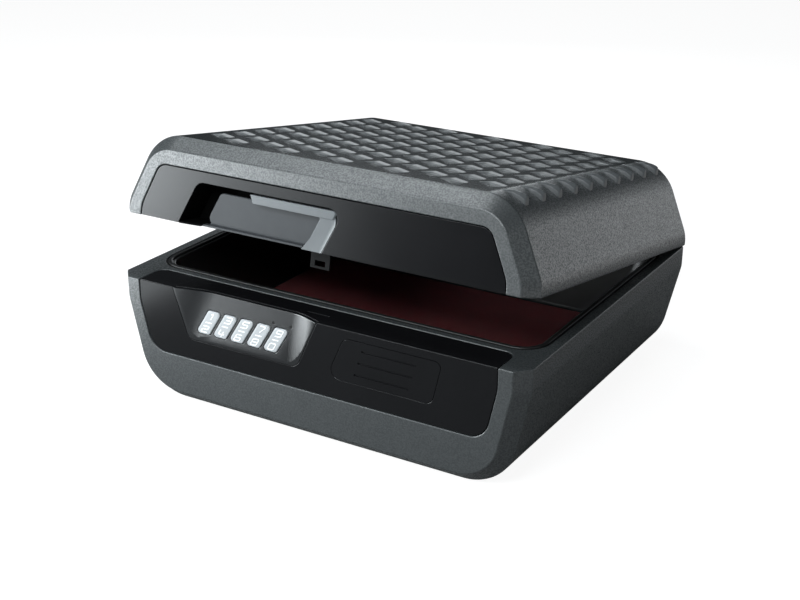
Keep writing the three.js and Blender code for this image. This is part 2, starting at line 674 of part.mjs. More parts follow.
function keypadBezel() {
  const shape = slabY(keypadOutline, PANEL_FRONT, FRONT + FAR);
  const windows = keyPlaces.map((x) => placed(slabY(grown(keyOutline(x), GAP), -FAR, FAR), keypadFrame));
  const ledHoles = [0, 1].map((i) => {
    const x = LED_LEFT_X + i * LED_SPACING;
    return placed(bar([x, -FAR, LED_UP], [x, FAR, LED_UP], LED_RADIUS + GAP, 12), keypadFrame);
  });
  const posts = postPlaces.map(([x, up]) => (
    placed(bar([x, BEZEL_BACK - 0.5, up], [x, BOARD_FRONT - GAP, up], POST_RADIUS, 12), keypadFrame)
  ));
  const dished = cut(shape.intersect(keypadDish(BEZEL_WALL)), keypadDish(0));
  return cut(join(dished, ...posts), ...windows, ...ledHoles);
}

function key(x) {
  const cap = slabY(keyOutline(x), -KEY_PROUD, FLANGE_FRONT + 0.1);
  const flange = slabY(grown(keyOutline(x), KEY_FLANGE), FLANGE_FRONT, FLANGE_BACK);
  return placed(join(cap, flange), keypadFrame);
}

function keypadMat() {
  const low = KEYS_MIDDLE_UP - KEY_HEIGHT / 2 - MAT_MARGIN;
  const high = KEYS_MIDDLE_UP + KEY_HEIGHT / 2;
  const left = BOARD_LEFT + POST_IN + POST_RADIUS + MAT_MARGIN;
  const sheet = box(left, BOARD_RIGHT - MAT_MARGIN, MAT_FRONT, MAT_BACK, low, high);
  const domes = keyPlaces.map((x) => (
    bar([x, DOME_FRONT, KEYS_MIDDLE_UP], [x, MAT_FRONT + MAT_THICKNESS / 4, KEYS_MIDDLE_UP], DOME_RADIUS, 14)
  ));
  return placed(join(sheet, ...domes), keypadFrame);
}

const board = () => placed(box(BOARD_LEFT, BOARD_RIGHT, BOARD_FRONT, BOARD_BACK, BOARD_LOW, BOARD_HIGH), keypadFrame);

function boardWithHoles() {
  const holes = postPlaces.map(([x, up]) => (
    placed(bar([x, BOARD_FRONT - 1, up], [x, BOARD_BACK + 1, up], BOARD_SCREW_RADIUS + GAP, 12), keypadFrame)
  ));
  return cut(board(), ...holes);
}

function boardScrew([x, up]) {
  const seat = BOARD_BACK + GAP;
  const head = bar([x, seat, up], [x, seat + BOARD_SCREW_HEAD, up], BOARD_SCREW_HEAD_RADIUS, 12);
  const shank = bar([x, BOARD_FRONT, up], [x, seat + BOARD_SCREW_HEAD / 2, up], BOARD_SCREW_RADIUS, 12);
  return placed(join(head, shank), keypadFrame);
}

function led(i) {
  const x = LED_LEFT_X + i * LED_SPACING;
  return placed(bar([x, LED_SETBACK, LED_UP], [x, BOARD_FRONT - GAP, LED_UP], LED_RADIUS, 12), keypadFrame);
}

// Battery bay
const coverLeft = (z) => COVER_LEFT + COVER_LEFT_LEAN * (z - COVER_FOOT);
const coverRight = (z) => COVER_RIGHT + COVER_RIGHT_LEAN * (z - COVER_FOOT);
const coverOutline = [
  [coverLeft(COVER_FOOT), COVER_FOOT, COVER_FOOT_RADIUS],
  [coverRight(COVER_FOOT), COVER_FOOT, COVER_FOOT_RADIUS],
  [coverRight(COVER_TOP), COVER_TOP, COVER_TOP_RADIUS],
  [coverLeft(COVER_TOP), COVER_TOP, COVER_FOOT_RADIUS],
];
const COVER_BACK = PANEL_FRONT + COVER_THICKNESS;
const COVER_MIDDLE_Z = COVER_FOOT + COVER_HEIGHT / 2;
const COVER_MIDDLE_X = (coverLeft(COVER_MIDDLE_Z) + coverRight(COVER_MIDDLE_Z)) / 2;
const TRAY_MIDDLE_X = COVER_MIDDLE_X + TRAY_SHIFT;
const CELL_SPACE = CELL_LENGTH + CONTACT_SPRING_LENGTH + 2 * (CONTACT_PLATE + GAP) + 2 * GAP;
const TRAY_LEFT = TRAY_MIDDLE_X - CELL_SPACE / 2;
const TRAY_RIGHT = TRAY_MIDDLE_X + CELL_SPACE / 2;
const TRAY_LOW = COVER_MIDDLE_Z - CELL_ROW_PITCH / 2 - CELL_RADIUS - GAP;
const TRAY_HIGH = COVER_MIDDLE_Z + CELL_ROW_PITCH / 2 + CELL_RADIUS + GAP;
const TRAY_FRONT = PANEL_BACK + GAP;
const FIRST_LAYER_Y = TRAY_FRONT + CELL_RADIUS + GAP;
const TRAY_BACK = FIRST_LAYER_Y + CELL_LAYER_PITCH + CELL_RADIUS + GAP;

function batteryTray() {
  const t = TRAY_WALL;
  const low = TRAY_LOW - t;
  const high = TRAY_HIGH + t;
  const shell = box(TRAY_LEFT - t, TRAY_RIGHT + t, TRAY_FRONT, TRAY_BACK + t, low, high);
  return cut(shell, box(TRAY_LEFT, TRAY_RIGHT, TRAY_FRONT - 1, TRAY_BACK, TRAY_LOW, TRAY_HIGH));
}

const cellSeats = [0, 1, 2, 3].map((i) => ({
  z: COVER_MIDDLE_Z + (i % 2 === 0 ? -1 : 1) * CELL_ROW_PITCH / 2,
  y: FIRST_LAYER_Y + (i < 2 ? 0 : CELL_LAYER_PITCH),
  way: (i % 2 === 0) === (i < 2) ? 1 : -1,
}));

// Each cell lies with its nub against a flat contact and its flat end on a coil spring.
function cell({ y, z, way }) {
  const nubEnd = CELL_SPACE / 2 - CONTACT_PLATE - 2 * GAP;
  const profile = [
    [0, 0],
    [CELL_RADIUS, 0],
    [CELL_RADIUS, CELL_LENGTH - CELL_NUB],
    [CELL_NUB_RADIUS, CELL_LENGTH - CELL_NUB],
    [CELL_NUB_RADIUS, CELL_LENGTH],
    [0, CELL_LENGTH],
  ];
  return turned(profile, [TRAY_MIDDLE_X + way * (nubEnd - CELL_LENGTH), y, z], [way, 0, 0], 20);
}

function spring(place, along, length, radius, wire, turns) {
  const points = [];
  const stepsPerTurn = 8;
  for (let k = 0; k <= turns * stepsPerTurn; k += 1) {
    const spin = 2 * Math.PI * k / stepsPerTurn;
    const rise = wire + (length - 2 * wire) * (k / (turns * stepsPerTurn));
    points.push(new THREE.Vector3(radius * Math.cos(spin), rise, radius * Math.sin(spin)));
  }
  const path = new THREE.CatmullRomCurve3(points);
  const section = new THREE.Shape(Array.from({ length: 5 }, (_, k) => (
    new THREE.Vector2(wire * Math.cos(2 * Math.PI * k / 5), wire * Math.sin(2 * Math.PI * k / 5))
  )));
  const geometry = new THREE.ExtrudeGeometry(section, { steps: turns * stepsPerTurn, extrudePath: path });
  const turn = new THREE.Quaternion().setFromUnitVectors(new THREE.Vector3(0, 1, 0), new THREE.Vector3(...along));
  return solid(geometry.applyQuaternion(turn).translate(...place));
}

// One contact bridges the two cells of a layer: flat for one cell's nub, with a spring for the other's flat end.
function batteryContact(side, layer) {
  const seats = cellSeats.filter((_, i) => (i < 2) === (layer === 0));
  const outer = TRAY_MIDDLE_X + side * (CELL_SPACE / 2 - GAP);
  const inner = outer - side * CONTACT_PLATE;
  const { y } = seats[0];
  const sprung = seats.find(({ way }) => way === -side);
  const plate = box(Math.min(outer, inner), Math.max(outer, inner), y - CONTACT_HALF_WIDTH, y + CONTACT_HALF_WIDTH,
    TRAY_LOW + CONTACT_END_PLAY, TRAY_HIGH - CONTACT_END_PLAY);
  const foot = [inner + side * CONTACT_PLATE / 2, y, sprung.z];
  const coil = spring(foot, [-side, 0, 0], CONTACT_SPRING_LENGTH, CONTACT_SPRING_RADIUS, CONTACT_WIRE,
    CONTACT_SPRING_TURNS);
  return join(plate, coil);
}

function batteryCover() {
  const plate = slabY(coverOutline, PANEL_FRONT, COVER_BACK);
  const rimBox = (inset, from, to) => (
    box(TRAY_LEFT + inset, TRAY_RIGHT - inset, from, to, TRAY_LOW + inset, TRAY_HIGH - inset)
  );
  const rim = cut(
    rimBox(COVER_RIM_PLAY, COVER_BACK - COVER_THICKNESS / 4, PANEL_BACK),
    rimBox(COVER_RIM_PLAY + COVER_RIM_WALL, COVER_BACK, PANEL_BACK + 1),
  );
  const grooves = Array.from({ length: GROOVE_COUNT }, (_, i) => {
    const z = COVER_MIDDLE_Z + (i - (GROOVE_COUNT - 1) / 2) * GROOVE_PITCH;
    const x = COVER_MIDDLE_X + GROOVE_LEAN * (z - COVER_MIDDLE_Z);
    return box(x - GROOVE_LENGTH / 2, x + GROOVE_LENGTH / 2, FRONT - 1, PANEL_FRONT + GROOVE_DEPTH,
      z - GROOVE_WIDTH / 2, z + GROOVE_WIDTH / 2);
  });
  return cut(join(plate, rim), ...grooves);
}

// Base panel: the front plate and the ledge in one moulding
function frontPanel() {
  const plate = slabY(panelOutline(BASE, BASE_PANEL_FOOT, BASE_PANEL_RADIUS), PANEL_FRONT, PANEL_BACK);
  const ledge = slabZ(ledgePlan, LEDGE_UNDER, LEDGE_TOP);
  const above = box(-WIDTH, WIDTH, FRONT - 1, 0, LEDGE_TOP, BASE_HEIGHT + FAR);
  const bezelSeat = slabY(grown(keypadOutline, GAP), FRONT - 1, FRONT + FAR).intersect(keypadDish(BEZEL_WALL + GAP));
  const behindKeys = placed(box(BOARD_LEFT - 1, BOARD_RIGHT + 1, BEZEL_BACK, FAR, BOARD_LOW - 1, BOARD_HIGH + 1),
    keypadFrame);
  const coverSeat = slabY(grown(coverOutline, GAP), FRONT - 1, COVER_BACK + GAP);
  const cellHole = box(TRAY_LEFT, TRAY_RIGHT, FRONT - 1, PANEL_BACK + 1, TRAY_LOW, TRAY_HIGH);
  const slot = box(SLOT_MIDDLE_X - SLOT_LENGTH / 2, SLOT_MIDDLE_X + SLOT_LENGTH / 2, SLOT_Y - SLOT_WIDTH / 2,
    SLOT_Y + SLOT_WIDTH / 2, LEDGE_UNDER - 1, BASE_HEIGHT);
  return cut(join(plate, ledge), above, bezelSeat, behindKeys, coverSeat, cellHole, slot);
}

// Lock
function lockCase() {
  const t = LOCK_CASE_WALL;
  const x = SLOT_MIDDLE_X;
  const coilHalf = COIL_SIZE / 2 + GAP;
  const open = LOCK_CASE_TOP + 1;
  return cut(
    box(LOCK_CASE_LEFT, LOCK_CASE_RIGHT, LOCK_CASE_FRONT, LOCK_CASE_BACK, LOCK_CASE_FLOOR, LOCK_CASE_TOP),
    box(x - SLOT_LENGTH / 2, x + SLOT_LENGTH / 2, SLOT_Y - SLOT_WIDTH / 2, SLOT_Y + SLOT_WIDTH / 2,
      LOCK_CASE_FLOOR + t, open),
    box(x - BOLT_WIDTH / 2 - GAP, x + BOLT_WIDTH / 2 + GAP, LOCK_CASE_FRONT + t, COIL_FRONT,
      LOCK_AXIS_Z - BOLT_HEIGHT / 2 - GAP, open),
    box(x - coilHalf, x + coilHalf, COIL_FRONT - GAP, LOCK_CASE_BACK - t, LOCK_AXIS_Z - coilHalf, open),
  );
}

function lockBolt() {
  const nose = box(SLOT_MIDDLE_X - BOLT_WIDTH / 2, SLOT_MIDDLE_X + BOLT_WIDTH / 2, BOLT_TIP, BOLT_TIP + BOLT_LENGTH,
    LOCK_AXIS_Z - BOLT_HEIGHT / 2, LOCK_AXIS_Z + BOLT_HEIGHT / 2);
  const rodEnd = COIL_BACK - PLUNGER_TAIL_SPACE;
  const rod = bar([SLOT_MIDDLE_X, BOLT_TIP + BOLT_LENGTH - 0.5, LOCK_AXIS_Z], [SLOT_MIDDLE_X, rodEnd, LOCK_AXIS_Z],
    PLUNGER_RADIUS, 16);
  return join(nose, rod);
}

function lockCoil() {
  const half = COIL_SIZE / 2;
  const winding = box(SLOT_MIDDLE_X - half, SLOT_MIDDLE_X + half, COIL_FRONT, COIL_BACK,
    LOCK_AXIS_Z - half, LOCK_AXIS_Z + half);
  return cut(winding, bar([SLOT_MIDDLE_X, COIL_FRONT - 1, LOCK_AXIS_Z], [SLOT_MIDDLE_X, COIL_BACK + 1, LOCK_AXIS_Z],
    PLUNGER_RADIUS + GAP, 16));
}

// A lead between two places inside the front bay.
function lead(points) {
  const path = new THREE.CatmullRomCurve3(points.map((point) => new THREE.Vector3(...point)));
  const section = new THREE.Shape(Array.from({ length: 8 }, (_, k) => (
    new THREE.Vector2(LEAD_RADIUS * Math.cos(Math.PI * k / 4), LEAD_RADIUS * Math.sin(Math.PI * k / 4))
  )));
  return solid(new THREE.ExtrudeGeometry(section, { steps: 16, extrudePath: path }));
}

function keypadLead() {
  const start = new THREE.Vector3(BOARD_RIGHT - KEYPAD_LEAD_IN, BOARD_BACK + GAP, BOARD_LOW + KEYPAD_LEAD_UP);
  start.applyMatrix4(keypadFrame);
  const inward = new THREE.Vector3(0, 1, 0).transformDirection(keypadFrame);
  const away = start.clone().addScaledVector(inward, LEAD_BEHIND);
  const y = BAY_BACK - LEAD_WALL_SPACE;
  const z = LOCK_CASE_FLOOR + LEAD_UP;
  return lead([start.toArray(), away.toArray(), [LOCK_CASE_LEFT - 8, y - 1, z], [LOCK_CASE_LEFT - 3, y, z],
    [LOCK_CASE_LEFT - GAP, y, z]]);
}

function batteryLead() {
  const y = BAY_BACK - LEAD_WALL_SPACE;
  const z = LOCK_CASE_FLOOR + LEAD_UP;
  const trayEnd = TRAY_LEFT - TRAY_WALL - GAP;
  return lead([[trayEnd, y - 2, COVER_MIDDLE_Z], [trayEnd - LEAD_BEHIND, y - 2, COVER_MIDDLE_Z],
    [LOCK_CASE_RIGHT + 10, y, z - 2], [LOCK_CASE_RIGHT + 4, y, z], [LOCK_CASE_RIGHT + GAP, y, z]]);
}

function hingePin(x) {
  const reach = HINGE_POCKET_WIDTH / 2 + HINGE_WALL - 0.5 - GAP;
  return bar([x - reach, AXIS_Y, AXIS_Z], [x + reach, AXIS_Y, AXIS_Z], PIN_RADIUS, 20);
}

// Lid, in a frame of its own: z = 0 is its lower edge, and x and y are as on the closed chest
const LID_AXIS_Z = AXIS_Z - BASE_HEIGHT - PARTING_GAP;
const LID_FLANGE_TOP = LID_FLANGE_LIFT + LID_FLANGE_THICKNESS;

const pullLeft = (z) => PULL_LEFT + PULL_LEFT_LEAN * z;
const pullRight = (z) => PULL_RIGHT + PULL_RIGHT_LEAN * z;
const pullOutline = (foot) => [
  [pullLeft(foot), foot],
  [pullRight(foot), foot],
  [pullRight(PULL_HEIGHT), PULL_HEIGHT, PULL_RIGHT_RADIUS, CORNER_STEPS],
  [pullLeft(PULL_HEIGHT), PULL_HEIGHT, PULL_LEFT_RADIUS, CORNER_STEPS],
];
const CUP_FRONT = PANEL_BACK + GAP;
const CUP_BACK = FRONT + PULL_DEPTH;
const CUP_SHELF_BACK = FRONT + PLATE_SETBACK + PLATE_THICKNESS + GAP;

// The deep part of the recess, where fingers reach behind the grip plate; it stops short of the lock blade.
const deepOutline = (foot) => [
  [pullLeft(foot), foot],
  [PULL_DEEP_RIGHT, foot],
  [PULL_DEEP_RIGHT, PULL_HEIGHT, PULL_RIGHT_RADIUS],
  [pullLeft(PULL_HEIGHT), PULL_HEIGHT, PULL_LEFT_RADIUS, CORNER_STEPS],
];
const cupOutside = (grow) => join(
  slabY(grown(pullOutline(-FAR), CUP_WALL + grow), CUP_FRONT - grow, CUP_SHELF_BACK + CUP_SHELF_WALL + grow),
  slabY(grown(deepOutline(-FAR), CUP_WALL + grow), CUP_FRONT - grow, CUP_BACK + CUP_WALL + grow),
);

// One raised lozenge: a hexagon with a crest across its middle and a facet that falls to each end. The feet are the
// heights at which its walls end, and the roots are how deep they go: at the left, in the middle and at the right.
function lozenge(height, feet, roots) {
  const half = LOZENGE_LENGTH / 2;
  const wide = LOZENGE_WIDTH / 2;
  const end = wide * LOZENGE_END;
  const crest = wide * LOZENGE_CREST;
  const outline = [[-half, -end, 0], [0, -wide, 1], [half, -end, 2], [half, end, 2], [0, wide, 1], [-half, end, 0]];
  const points = [
    ...outline.map(([x, y, place]) => [x, y, roots[place]]),
    ...outline.map(([x, y, place]) => [x, y, feet[place]]),
    [0, -crest, height],
    [0, crest, height],
  ];
  const walls = outline.flatMap((_, i) => {
    const next = (i + 1) % outline.length;
    return [[i, next, next + 6], [i, next + 6, i + 6]];
  });
  const floor = [[0, 5, 4], [0, 4, 1], [1, 4, 3], [1, 3, 2]];
  const top = [[6, 12, 13], [6, 13, 11], [8, 9, 13], [8, 13, 12], [6, 7, 12], [7, 8, 12], [9, 10, 13], [10, 11, 13]];
  const geometry = new THREE.BufferGeometry();
  geometry.setAttribute('position', new THREE.Float32BufferAttribute(points.flat(), 3));
  geometry.setIndex([...walls, ...floor, ...top].flat());
  return solid(geometry);
}

// The last column at the right stands over the shoulder as upright fins.
function lozenges() {
  const bodies = [];
  for (let column = -LOZENGE_COLUMNS_LEFT; column <= LOZENGE_COLUMNS_RIGHT + 1; column += 1) {
    const fin = column > LOZENGE_COLUMNS_RIGHT;
    const offset = column % 2 === 0 ? 0 : LOZENGE_ROW_PITCH / 2;
    const last = DEPTH - LOZENGE_WIDTH - BACK_EDGE_BREAK;
    for (let y = LOZENGE_FIRST_ROW + offset; y < last; y += LOZENGE_ROW_PITCH) {
      const place = new THREE.Matrix4().makeTranslation(column * LOZENGE_COLUMN_PITCH, FRONT + y, LID_HEIGHT);
      const body = fin
        ? lozenge(FIN_HEIGHT, FIN_FEET, FIN_ROOTS)
        : lozenge(LOZENGE_HEIGHT, LOZENGE_FEET, LOZENGE_ROOTS);
      bodies.push(placed(body, place));
    }
  }
  return bodies;
}

function lidShell() {
  const opening = panelOutline(LID, LID_PANEL_DROP, LID_PANEL_RADIUS, PANEL_SEAT, PANEL_SEAT);
  let body = cut(
    outerBody(LID, CHAMFER_TOP, LID_FRAME_RADIUS, SHOULDER_RADIUS),
    hollow(LID, CHAMFER_TOP, SHOULDER_RADIUS, -1),
    slabY(grown(panelOutline(LID, LID_PANEL_DROP, LID_PANEL_RADIUS), GAP), FRONT - 1, PANEL_BACK + GAP),
    slabY(opening, FRONT - 1, FRONT + FRONT_WALL + 1),
    cupOutside(GAP),
  );
  const lug = [[AXIS_Y - LUG_RADIUS, LID_AXIS_Z - LUG_RADIUS, LUG_RADIUS * 0.95, 8],
    [AXIS_Y + LUG_RADIUS, LID_AXIS_Z - LUG_RADIUS, LUG_RADIUS * 0.95, 8],
    [AXIS_Y + LUG_RADIUS, LID_FLANGE_LIFT - GAP], [AXIS_Y - LUG_RADIUS, LID_FLANGE_LIFT - GAP]];
  hingeSides.forEach(([, x]) => {
    const outer = HINGE_POCKET_WIDTH / 2 - GAP;
    const lugs = [slabX(lug, x - outer, x - outer + LUG_WIDTH), slabX(lug, x + outer - LUG_WIDTH, x + outer)];
    const hole = bar([x - outer - 1, AXIS_Y, LID_AXIS_Z], [x + outer + 1, AXIS_Y, LID_AXIS_Z], PIN_RADIUS + GAP);
    body = cut(join(body, ...lugs), hole);
  });
  return join(body, ...lozenges());
}

// The liner's flange follows the inside of the lid shell.
function lidFlangePlan(inset) {
  const side = HALF - SHELL_WALL - GAP - inset;
  const front = FRONT + FRONT_WALL + GAP + inset;
  const straightFrom = FRONT + CHAMFER_DEPTH + SHELL_WALL / 2 + inset;
  const cornerReach = SHELL_WALL * Math.hypot(CHAMFER_SIDE, CHAMFER_DEPTH) / CHAMFER_DEPTH;
  const narrow = side - CHAMFER_SIDE * (1 - FRONT_WALL / CHAMFER_DEPTH) - cornerReach + SHELL_WALL;
  const back = BACK - SHELL_WALL - GAP - inset;
  return [[narrow, front], [side, straightFrom], [side, back], [-side, back], [-side, straightFrom], [-narrow, front]];
}

const gasketOuter = rimPlan(BEAD_GROOVE - GASKET_SPREAD);
const gasketInner = rimPlan(BEAD_GROOVE + BEAD_WIDTH + GASKET_SPREAD);
const GASKET_LOW = BEAD_PROUD - PARTING_GAP + GAP;
const GASKET_HIGH = GASKET_LOW + GASKET_THICKNESS;

function lidLiner() {
  const ceiling = LID_TUB_DEPTH;
  const outer = loft([ringZ(tubTop(-TUB_WALL), LID_FLANGE_LIFT), ringZ(tubBottom(-TUB_WALL), ceiling + TUB_WALL)]);
  const inner = loft([ringZ(tubTop(0), LID_FLANGE_LIFT - 1), ringZ(tubBottom(0), ceiling)]);
  const groove = cut(
    slabZ(grown(gasketOuter, GAP), LID_FLANGE_LIFT - 1, GASKET_HIGH + GAP),
    slabZ(grown(gasketInner, -GAP), LID_FLANGE_LIFT - 2, GASKET_HIGH + 1),
  );
  const flange = slabZ(lidFlangePlan(0), LID_FLANGE_LIFT, LID_FLANGE_TOP);
  return cut(join(flange, outer), inner, groove, cupOutside(GAP), strikeRoom(), strikeScrewHoles());
}

const lidGasket = () => cut(
  slabZ(gasketOuter, GASKET_LOW, GASKET_HIGH),
  slabZ(gasketInner, GASKET_LOW - 1, GASKET_HIGH + 1),
);

function lidInsulation() {
  const block = hollow(LID, CHAMFER_TOP, SHOULDER_RADIUS, LID_FLANGE_TOP + GAP, GAP);
  const tub = loft([ringZ(tubTop(-TUB_WALL - GAP), LID_FLANGE_LIFT),
    ringZ(tubBottom(-TUB_WALL - GAP), LID_TUB_DEPTH + TUB_WALL + GAP)]);
  return cut(block, tub, cupOutside(GAP), strikeRoom());
}

function lidPanel() {
  const plate = slabY(panelOutline(LID, LID_PANEL_DROP, LID_PANEL_RADIUS), PANEL_FRONT, PANEL_BACK);
  return cut(plate, slabY(pullOutline(-FAR), FRONT - 1, PANEL_BACK + 1));
}

// A thin floor closes the recess left of the grip plate. Its front edge falls back towards the plate.
function cupFloor() {
  const ring = (z) => ringZ([
    [pullLeft(z) + CUP_FLOOR_GAP, FRONT + CUP_FLOOR_START],
    [pullLeft(z) + CUP_FLOOR_LENGTH, FRONT + CUP_FLOOR_END],
    [pullLeft(z) + CUP_FLOOR_LENGTH, CUP_BACK + 1],
    [pullLeft(z) - 1, CUP_BACK + 1],
    [pullLeft(z) - 1, CUP_FRONT],
    [pullLeft(z) + CUP_FLOOR_GAP, CUP_FRONT],
  ], z);
  return loft([ring(0), ring(CUP_FLOOR_HEIGHT)]);
}

function pullCup() {
  const low = box(-WIDTH, WIDTH, FRONT - 1, BACK, -2 * FAR, 0);
  const shelf = slabY(pullOutline(-2 * FAR), FRONT - 1, CUP_SHELF_BACK);
  const deep = slabY(deepOutline(-2 * FAR), FRONT - 1, CUP_BACK);
  const plateBack = FRONT + PLATE_SETBACK + PLATE_THICKNESS;
  const bosses = BOSS_SHARES.map((share) => {
    const x = pullLeft(PULL_HEIGHT / 2) + share * (pullRight(0) - pullLeft(0));
    return bar([x, plateBack + GAP, PULL_HEIGHT / 2], [x, CUP_BACK + CUP_WALL / 2, PULL_HEIGHT / 2], BOSS_RADIUS, 16);
  });
  return join(cut(cupOutside(0), low, shelf, deep), cupFloor(), ...bosses);
}

function pullPlate() {
  const low = PLATE_FOOT_SPACE;
  const high = PULL_HEIGHT - PLATE_TOP_SPACE;
  const outline = [
    [pullLeft(low) + PLATE_LEFT_SPACE, low, PLATE_RADIUS],
    [pullRight(low) - TRIM_LEG, low, PLATE_RADIUS],
    [pullRight(high) - 2, high, PLATE_RADIUS],
    [pullLeft(high) + PLATE_LEFT_SPACE, high, PLATE_RADIUS],
  ];
  const back = FRONT + PLATE_SETBACK + PLATE_THICKNESS;
  const lip = slabY([
    [pullLeft(LIP_LOW) + PLATE_LEFT_SPACE, LIP_LOW],
    [LIP_RIGHT, LIP_LOW],
    [LIP_RIGHT, LIP_HIGH],
    [pullLeft(LIP_HIGH) + PLATE_LEFT_SPACE, LIP_HIGH],
  ], FRONT + LIP_FRONT, back);
  return join(slabY(outline, FRONT + PLATE_SETBACK, back), lip);
}

function pullTrim() {
  const high = PULL_HEIGHT - TRIM_TOP_GAP;
  const low = GAP;
  const strip = high - TRIM_STRIP;
  const right = (z) => pullRight(z) - TRIM_GAP;
  const left = right(high) - TRIM_LENGTH;
  const outline = [
    [right(low), low],
    [right(high), high, TRIM_CORNER_RADIUS, CORNER_STEPS],
    [left, high],
    [left + TRIM_STRIP * 0.45, strip],
    [right(strip) - TRIM_LEG, strip, 1.5],
    [right(low + 10) - TRIM_LEG, low + 10, 8],
    [right(low) - TRIM_LEG - 3, low],
  ];
  return slabY(outline, PANEL_FRONT, PANEL_FRONT + TRIM_DEPTH);
}

// The blade stands on a foot plate above the lid flange and drops through it; two screws hold the foot.
const STRIKE_FOOT_LOW = LID_FLANGE_TOP + GAP;
const STRIKE_FOOT_BACK = SLOT_Y + STRIKE_FOOT_DEPTH;
const STRIKE_HALF = BLADE_WIDTH / 2 + STRIKE_FOOT_SPREAD;
const BLADE_WINDOW_Z = LOCK_AXIS_Z - BASE_HEIGHT - PARTING_GAP;

function strikeRoom() {
  const x = SLOT_MIDDLE_X;
  return join(
    box(x - STRIKE_HALF - GAP, x + STRIKE_HALF + GAP, SLOT_Y - BLADE_THICKNESS / 2 - GAP, STRIKE_FOOT_BACK + GAP,
      STRIKE_FOOT_LOW - GAP, STRIKE_FOOT_LOW + STRIKE_PLATE + 2 * GAP),
    box(x - BLADE_WIDTH / 2 - GAP, x + BLADE_WIDTH / 2 + GAP, SLOT_Y - BLADE_THICKNESS / 2 - 1,
      SLOT_Y + BLADE_THICKNESS / 2 + GAP, 0, STRIKE_FOOT_LOW + GAP),
  );
}

function lockStrike() {
  const x = SLOT_MIDDLE_X;
  const front = SLOT_Y - BLADE_THICKNESS / 2;
  const top = STRIKE_FOOT_LOW + STRIKE_PLATE;
  const tip = BLADE_WINDOW_Z - BLADE_WINDOW_HEIGHT / 2 - BLADE_TIP_STRIP;
  const blade = box(x - BLADE_WIDTH / 2, x + BLADE_WIDTH / 2, front, front + BLADE_THICKNESS, tip, top);
  const foot = box(x - STRIKE_HALF, x + STRIKE_HALF, front, STRIKE_FOOT_BACK, STRIKE_FOOT_LOW, top);
  const window = box(x - BLADE_WINDOW_WIDTH / 2, x + BLADE_WINDOW_WIDTH / 2, front - 1, front + BLADE_THICKNESS + 1,
    BLADE_WINDOW_Z - BLADE_WINDOW_HEIGHT / 2, BLADE_WINDOW_Z + BLADE_WINDOW_HEIGHT / 2);
  const holes = strikeScrewPlaces.map(([screwX, screwY]) => (
    bar([screwX, screwY, 0], [screwX, screwY, top + 1], STRIKE_SCREW_RADIUS + GAP, 12)
  ));
  return cut(join(blade, foot), window, ...holes);
}

const strikeScrewPlaces = [-0.5, 0.5].map((share) => (
  [SLOT_MIDDLE_X + share * STRIKE_SCREW_SPACING, STRIKE_FOOT_BACK - STRIKE_SCREW_IN]
));
const strikeScrewHoles = () => join(...strikeScrewPlaces.map(([x, y]) => (
  bar([x, y, 0], [x, y, LID_FLANGE_TOP + 1], STRIKE_SCREW_RADIUS + GAP, 12)
)));

function strikeScrew([x, y]) {
  const seat = LID_FLANGE_LIFT - GAP;
  const end = STRIKE_FOOT_LOW + STRIKE_PLATE - STRIKE_SCREW_SUNK;
  const profile = [
    [0, STRIKE_SCREW_SUNK],
    [STRIKE_SCREW_HEAD_RADIUS, STRIKE_SCREW_SUNK],
    [STRIKE_SCREW_HEAD_RADIUS, seat],
    [STRIKE_SCREW_RADIUS, seat],
    [STRIKE_SCREW_RADIUS, end],
    [0, end],
  ];
  return turned(profile, [x, y, 0], [0, 0, 1], 14);
}

// Assembly: the base
add(group, 'base_shell', baseShell(), CHARCOAL, 0.55);
add(group, 'base_insulation', baseInsulation(), STONE, 0.9);
add(group, 'base_liner', baseLiner(), BLACK, 0.5);
add(group, 'floor_mat', floorMat(), FELT_RED, 1);
add(group, 'front_panel', frontPanel(), BLACK, 0.15);
add(group, 'keypad_bezel', keypadBezel(), SATIN_GREY, 0.35);
keyPlaces.forEach((x, i) => {
  add(group, `key_${(2 * i + 1) % 10}_${(2 * i + 2) % 10}`, key(x), KEY_GREY, 0.4);
});
add(group, 'keypad_mat', keypadMat(), RUBBER, 0.9);
add(group, 'circuit_board', boardWithHoles(), BOARD_GREEN, 0.5);
postPlaces.forEach((place, i) => add(group, `board_screw_${i + 1}`, boardScrew(place), STEEL, 0.3, 1));
['led_red', 'led_green'].forEach((name, i) => add(group, name, led(i), DARK_GREY, 0.2));
add(group, 'battery_cover', batteryCover(), BLACK, 0.2);
add(group, 'battery_tray', batteryTray(), BLACK, 0.6);
[['left', -1], ['right', 1]].forEach(([name, side]) => [0, 1].forEach((layer) => {
  add(group, `battery_contact_${name}_${layer + 1}`, batteryContact(side, layer), STEEL, 0.3, 1);
}));
cellSeats.forEach((seat, i) => add(group, `cell_${i + 1}`, cell(seat), SATIN_GREY, 0.4));
add(group, 'lock_case', lockCase(), DARK_GREY, 0.5);
add(group, 'lock_bolt', lockBolt(), STEEL, 0.3, 1);
add(group, 'lock_coil', lockCoil(), FELT_RED, 0.6);
add(group, 'keypad_lead', keypadLead(), RUBBER, 0.8);
add(group, 'battery_lead', batteryLead(), RUBBER, 0.8);
hingeSides.forEach(([side, x]) => add(group, `hinge_pin_${side}`, hingePin(x), STEEL, 0.3, 1));

// Assembly: the lid, turned open about the hinge pins
const hinge = new THREE.Group();
hinge.position.set(0, AXIS_Y, AXIS_Z);
hinge.rotation.x = -THREE.MathUtils.degToRad(LID_AJAR_DEGREES);
lid.position.set(0, -AXIS_Y, -LID_AXIS_Z);
hinge.add(lid);
group.add(hinge);

